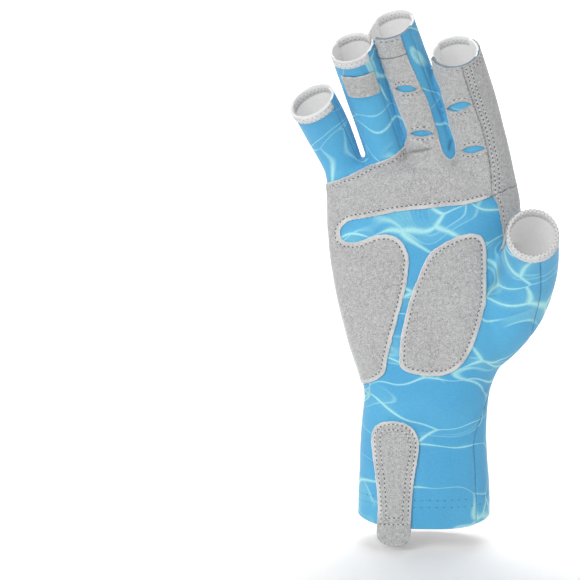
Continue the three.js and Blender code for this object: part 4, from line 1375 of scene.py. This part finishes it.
band_start, band_end = step_between(water, swirl, 0.445, 0.47), step_between(water, swirl, 0.54, 0.515)
band = maths(water, "MULTIPLY", band_start, band_end)
ribbons = where_patchy(band, 0.46, 0.62, 0.0, 0.6)
halo = step_between(water, cells, 0.0, maths(water, "MULTIPLY", given["Width"], 4.0), 0.5, 0.0)
halo = where_patchy(halo, 0.48, 0.64)
water.links.new(maths(water, "MAXIMUM", ribbons, halo), result["Ribbons"])
deep = soft_noise(places, 26.0, 7.7, 2.0).outputs["Fac"]
water.links.new(step_between(water, deep, 0.34, 0.66), result["Depth"])
print("print group with", len(water.nodes), "nodes")

# %% Knit and fibres
knit, given, result = new_group(
    "knit", {"Vector": ("Vector", None), "Ribs per metre": ("Float", 1500.0)},
    {"Height": "Float", "Fleck": "Float"})
scaled = scaled_by(knit, given["Vector"], given["Ribs per metre"])
ribs, rows = (
    add(knit, "TexWave", {"Vector": scaled, "Scale": scale, "Distortion": 0.6, "Detail": 1.0},
        bands_direction=axis)
    for scale, axis in ((0.32, "X"), (0.36, "Z"))
)
loops = maths(knit, "MULTIPLY", ribs.outputs["Fac"], rows.outputs["Fac"])
fleck = add(knit, "TexNoise", {"Vector": scaled, "Scale": 0.9, "Detail": 2.0}).outputs["Fac"]
knit.links.new(maths(knit, "ADD", loops, maths(knit, "MULTIPLY", fleck, 0.5)), result["Height"])
knit.links.new(fleck, result["Fleck"])

fibres, given, result = new_group(
    "fibres", {"Vector": ("Vector", None), "Grains per metre": ("Float", 2300.0)},
    {"Height": "Float", "Mottle": "Float", "Cloud": "Float"})


def fibre_noise(scale, **more):
    inputs = {"Vector": given["Vector"], "Scale": scale, "Detail": 3.0, **more}
    return add(fibres, "TexNoise", inputs).outputs["Fac"]


grain = fibre_noise(given["Grains per metre"], Roughness=0.65)
nap = fibre_noise(maths(fibres, "MULTIPLY", given["Grains per metre"], 0.3), Distortion=0.6)
cloud = fibre_noise(70.0)
both = maths(fibres, "ADD", maths(fibres, "MULTIPLY", grain, 0.75), maths(fibres, "MULTIPLY", nap, 0.25))
fibres.links.new(both, result["Height"])
fibres.links.new(step_between(fibres, both, 0.36, 0.64), result["Mottle"])
fibres.links.new(step_between(fibres, cloud, 0.3, 0.7), result["Cloud"])
print("fine groups with", len(knit.nodes), "and", len(fibres.nodes), "nodes")

# %% Printed fabric
SKY = linear(84, 172, 214)
DEEP_SKY = linear(75, 163, 210)
PALE_SKY = linear(128, 204, 220)
LIGHT_LINE = linear(176, 232, 232)
fabric, tree, shader = new_material("printed_fabric", SKY, 0.72, Sheen_Weight=0.25, Sheen_Roughness=0.45)
where = coordinates(tree)
shifted = add(tree, "Mapping", {"Vector": where, "Location": (0.013, 0.004, 0.021)}).outputs[0]
printed = use(tree, water, {"Vector": shifted})
surface = use(tree, knit, {"Vector": where})
ground = mix_colours(tree, printed["Depth"], DEEP_SKY, SKY)
ground = mix_colours(tree, maths(tree, "MULTIPLY", printed["Ribbons"], 0.7), ground, PALE_SKY)
ground = mix_colours(tree, maths(tree, "MULTIPLY", printed["Lines"], 0.85), ground, LIGHT_LINE)
seam_shade = step_between(tree, stored(tree, "from_edge"), -0.4, -0.05, 1.0, 0.55)
# Painted shade in the creases.
fold_shade = step_between(tree, stored(tree, "painted_crease_shade"), 0.0, 1.0, 1.0, 0.6)
fleck = step_between(tree, surface["Fleck"], 0.3, 0.7, 0.94, 1.04)
shade = maths(tree, "MULTIPLY", maths(tree, "MULTIPLY", fleck, seam_shade), fold_shade)
finish_surface(tree, shader, scaled_by(tree, ground, shade), surface["Height"], 0.35, 0.12)

# %% White inside of the fabric
# The inside glows a little: painted light for the daylight that comes through the thin knit, so it is a
# little brighter than a solid wall's.
# Only the turned edge of a bare lip is dark, as a shadow lies along it.
INSIDE_DARK = linear(218, 218, 218)
INSIDE_LIGHT = linear(236, 236, 236)
LIP_SHADE = linear(122, 126, 132)
# The emission is painted light: the inside glows faintly with its own tone.
lining, tree, shader = new_material("fabric_inside", linear(236, 238, 240), 0.85, Sheen_Weight=0.2,
                                    Emission_Strength=0.15)
surface = use(tree, knit, {"Vector": coordinates(tree)})
tone = mix_colours(tree, surface["Fleck"], INSIDE_DARK, INSIDE_LIGHT)
tone = mix_colours(tree, step_between(tree, stored(tree, "at_lip"), 0.55, 0.95), tone, LIP_SHADE)
tree.links.new(tone, shader.inputs["Emission Color"])
finish_surface(tree, shader, tone, surface["Height"], 0.4, 0.15)

# %% Suede
# The distance to the rim, kept on every point in millimetres, whitens the bare cut edge: partly its own
# paler colour, partly a painted highlight. Joints are darker, and folds get a painted shade.
SUEDE = linear(190, 190, 188)
SUEDE_DARK = linear(136, 136, 136)
SUEDE_LIGHT = linear(201, 201, 201)
SUEDE_CLOUD = linear(178, 178, 178)
PALE_EDGE_AND_HIGHLIGHT = linear(228, 228, 226)
JOINT_AND_CREASE_SHADE = linear(92, 92, 94)
suede, tree, shader = new_material("suede", SUEDE, 0.92, Sheen_Weight=0.3, Sheen_Roughness=0.6)
surface = use(tree, fibres, {"Vector": coordinates(tree)})
tone = mix_colours(tree, surface["Mottle"], SUEDE_DARK, SUEDE_LIGHT)
tone = mix_colours(tree, maths(tree, "MULTIPLY", surface["Cloud"], 0.25), tone, SUEDE_CLOUD)
rim = stored(tree, "from_edge")
brightness = step_between(tree, surface["Cloud"], 0.2, 0.8, 0.2, 0.5)
band = maths(tree, "MULTIPLY", step_between(tree, rim, -2.2, -1.4), brightness)
tone = mix_colours(tree, band, tone, PALE_EDGE_AND_HIGHLIGHT)
# A thin white line at the very rim: the cut edge's own paler colour, and partly a painted highlight.
tone = mix_colours(tree, step_between(tree, rim, -0.5, -0.1), tone, PALE_EDGE_AND_HIGHLIGHT)
tone = mix_colours(tree, step_between(tree, stored(tree, "from_joint"), 0.15, 0.5, 0.7, 0.0), tone, JOINT_AND_CREASE_SHADE)
# Painted shade in the creases, in the dark tone of the joints.
tone = mix_colours(tree, step_between(tree, stored(tree, "painted_crease_shade"), 0.2, 1.0, 0.0, 0.6), tone, JOINT_AND_CREASE_SHADE)
finish_surface(tree, shader, tone, surface["Height"], 0.6, 0.22)

# %% Tape, thread and needle holes
TAPE_DARK = linear(208, 208, 208)
TAPE_LIGHT = linear(232, 232, 232)
tape, tree, shader = new_material("white_tape", linear(240, 240, 240), 0.8, Sheen_Weight=0.2)
surface = use(tree, knit, {"Vector": coordinates(tree), "Ribs per metre": 2200.0})
tone = mix_colours(tree, surface["Fleck"], TAPE_DARK, TAPE_LIGHT)
finish_surface(tree, shader, tone, surface["Height"], 0.4, 0.12)


def sewn_material(name, dark, light, roughness):
    """Thread, or a needle hole whose dark tone is painted shade: a tone between two, broken up by fine
    fibres.
    """
    material, tree, shader = new_material(name, linear(*light), roughness)
    surface = use(tree, fibres, {"Vector": coordinates(tree), "Grains per metre": 3000.0})
    tone = mix_colours(tree, surface["Mottle"], linear(*dark), linear(*light))
    finish_surface(tree, shader, tone, surface["Height"], 0.3, 0.05)
    return material


thread = sewn_material("sewing_thread", (196, 196, 196), (228, 228, 228), 0.6)
# The needle holes are dark copies of what they are sewn through: painted shade in the hole.
needle_hole_shade = sewn_material("needle_hole_shade", (66, 66, 68), (98, 98, 100), 0.95)
tape_hole_shade = sewn_material("tape_needle_hole_shade", (118, 118, 120), (150, 150, 152), 0.95)
blue_thread = sewn_material("blue_thread", (66, 150, 196), (96, 180, 220), 0.6)
blue_hole_shade = sewn_material("blue_needle_hole_shade", (30, 84, 122), (46, 108, 148), 0.95)

# The first ending that a piece's name has gives its finishes.
FINISHES = (
    ("_fabric", (fabric, lining)), ("_tape", (tape,)), ("fabric_thread", (blue_thread,)),
    ("fabric_holes", (blue_hole_shade,)), ("tape_holes", (tape_hole_shade,)), ("_thread", (thread,)),
    ("_holes", (needle_hole_shade,)), ("_suede", (suede,)),
)
for name, piece in pieces.items():
    finishes = next(chosen for ending, chosen in FINISHES if name.endswith(ending))
    for number, finish in enumerate(finishes):
        if number < len(piece.data.materials):
            piece.data.materials[number] = finish
        else:
            piece.data.materials.append(finish)
print("materials", sorted({finish.name for _, finishes in FINISHES for finish in finishes}))

# %% [markdown]
# ## Studio
#
# The glove stands on a pale floor that curves up into a pale wall. A large soft light hangs in
# front, above and to the left, a weaker one fills from the right, and the world adds the rest.

# %% Floor and wall
FLOOR_LEVEL = -10.4 * MM
STUDIO_WIDTH = 6.0
STUDIO_DEPTH = 2.2
WALL_HEIGHT = 4
SWEEP_RADIUS = 0.8
deselect_all()
bpy.ops.mesh.primitive_plane_add(
    size=STUDIO_WIDTH, location=(0, STUDIO_DEPTH - STUDIO_WIDTH / 2, FLOOR_LEVEL))
floor = bpy.context.object
floor.name = "studio_floor"
bpy.ops.object.mode_set(mode="EDIT")
mesh = bmesh.from_edit_mesh(floor.data)
for edge in mesh.edges:
    edge.select = all(vertex.co.y > 0 for vertex in edge.verts)
for vertex in mesh.verts:
    vertex.select = vertex.co.y > 0
bmesh.update_edit_mesh(floor.data)
bpy.ops.mesh.extrude_region_move(TRANSFORM_OT_translate={"value": (0, 0, WALL_HEIGHT)})
bpy.ops.object.mode_set(mode="OBJECT")
bpy.ops.object.transform_apply(location=True, rotation=False, scale=False)
apply_modifier(floor, "BEVEL", width=SWEEP_RADIUS, segments=16, limit_method="ANGLE")
smooth_faces(floor)
PAPER_TONES = ((0.88, 0.88, 0.88, 1), (0.92, 0.92, 0.92, 1))
floor_material, tree, shader = new_material("studio_paper", (0.9, 0.9, 0.9, 1), 0.9)
paper = add(tree, "TexNoise", {"Vector": coordinates(tree), "Scale": 6.0, "Detail": 1.0}).outputs["Fac"]
tree.links.new(mix_colours(tree, paper, *PAPER_TONES), shader.inputs["Base Color"])
floor.data.materials.append(floor_material)

# %% Lights
# Columns: name, place, what it points at, size in m and power in W.
LIGHTS = (
    ("key_light", (-0.7, -1.3, 0.85), (0, 0, 0.12), 1.0, 16.5),
    ("fill_light", (1.1, -1.2, 0.5), (0, 0, 0.12), 1.0, 3),
    ("wall_light", (0.0, 0.9, 1.7), (0, 2.2, 0.5), 1.6, 60),
)
WORLD_STRENGTH = 0.98
for name, place, target, size, power in LIGHTS:
    deselect_all()
    bpy.ops.object.light_add(type="AREA", location=place)
    light = bpy.context.object
    light.name = name
    light.data.size = size
    light.data.energy = power
    light.rotation_euler = (Vector(target) - Vector(place)).to_track_quat("-Z", "Y").to_euler()
world = bpy.data.worlds.new("studio_world")
bpy.context.scene.world = world
world.use_nodes = True
world.node_tree.nodes["Background"].inputs["Color"].default_value = (1, 1, 1, 1)
world.node_tree.nodes["Background"].inputs["Strength"].default_value = WORLD_STRENGTH
bpy.context.scene.view_settings.view_transform = "Standard"
print("lights", [name for name, *_ in LIGHTS])

# %% [markdown]
# ## Handing the pieces to the frame
#
# The glove has no joints, so every piece rides on its one body. Each dressed piece stands for
# one plain solid, which stays in the frame for collision but is hidden here.

# %% Riding and replacing
STANDS_FOR = {
    "palm_fabric": ("palm_panel", "fabric"),
    "back_fabric": ("back_panel", "fabric"),
    "fourchette_index_middle_fabric": ("fourchette_index_middle", "fabric"),
    "fourchette_middle_ring_fabric": ("fourchette_middle_ring", "fabric"),
    "fourchette_ring_little_fabric": ("fourchette_ring_little", "fabric"),
    "palm_suede": ("palm_patch", "suede"),
    "middle_tip_suede": ("middle_tip_patch", "suede"),
    "ring_suede": ("ring_patch", "suede"),
    "thenar_suede": ("thenar_patch", "suede"),
    "index_side_suede": ("index_side_strip", "suede"),
    "crotch_suede": ("crotch_patch", "suede"),
    "pull_tab_suede": ("pull_tab", "suede"),
    "hem_index_tape": ("hem_index", "tape"),
    "hem_middle_tape": ("hem_middle", "tape"),
    "hem_ring_palm_tape": ("hem_ring_palm", "tape"),
    "hem_ring_back_tape": ("hem_ring_back", "tape"),
    "hem_little_tape": ("hem_little", "tape"),
    "hem_thumb_tape": ("hem_thumb", "tape"),
}
bpy.data.objects.remove(form)
for name, piece in pieces.items():
    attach(piece, "root")
    node, finish = STANDS_FOR.get(name, (None, "suede"))
    if node:
        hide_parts(node)
triangles = sum(len(p.vertices) - 2 for piece in pieces.values() for p in piece.data.polygons)
print(len(pieces), "pieces,", triangles, "triangles")
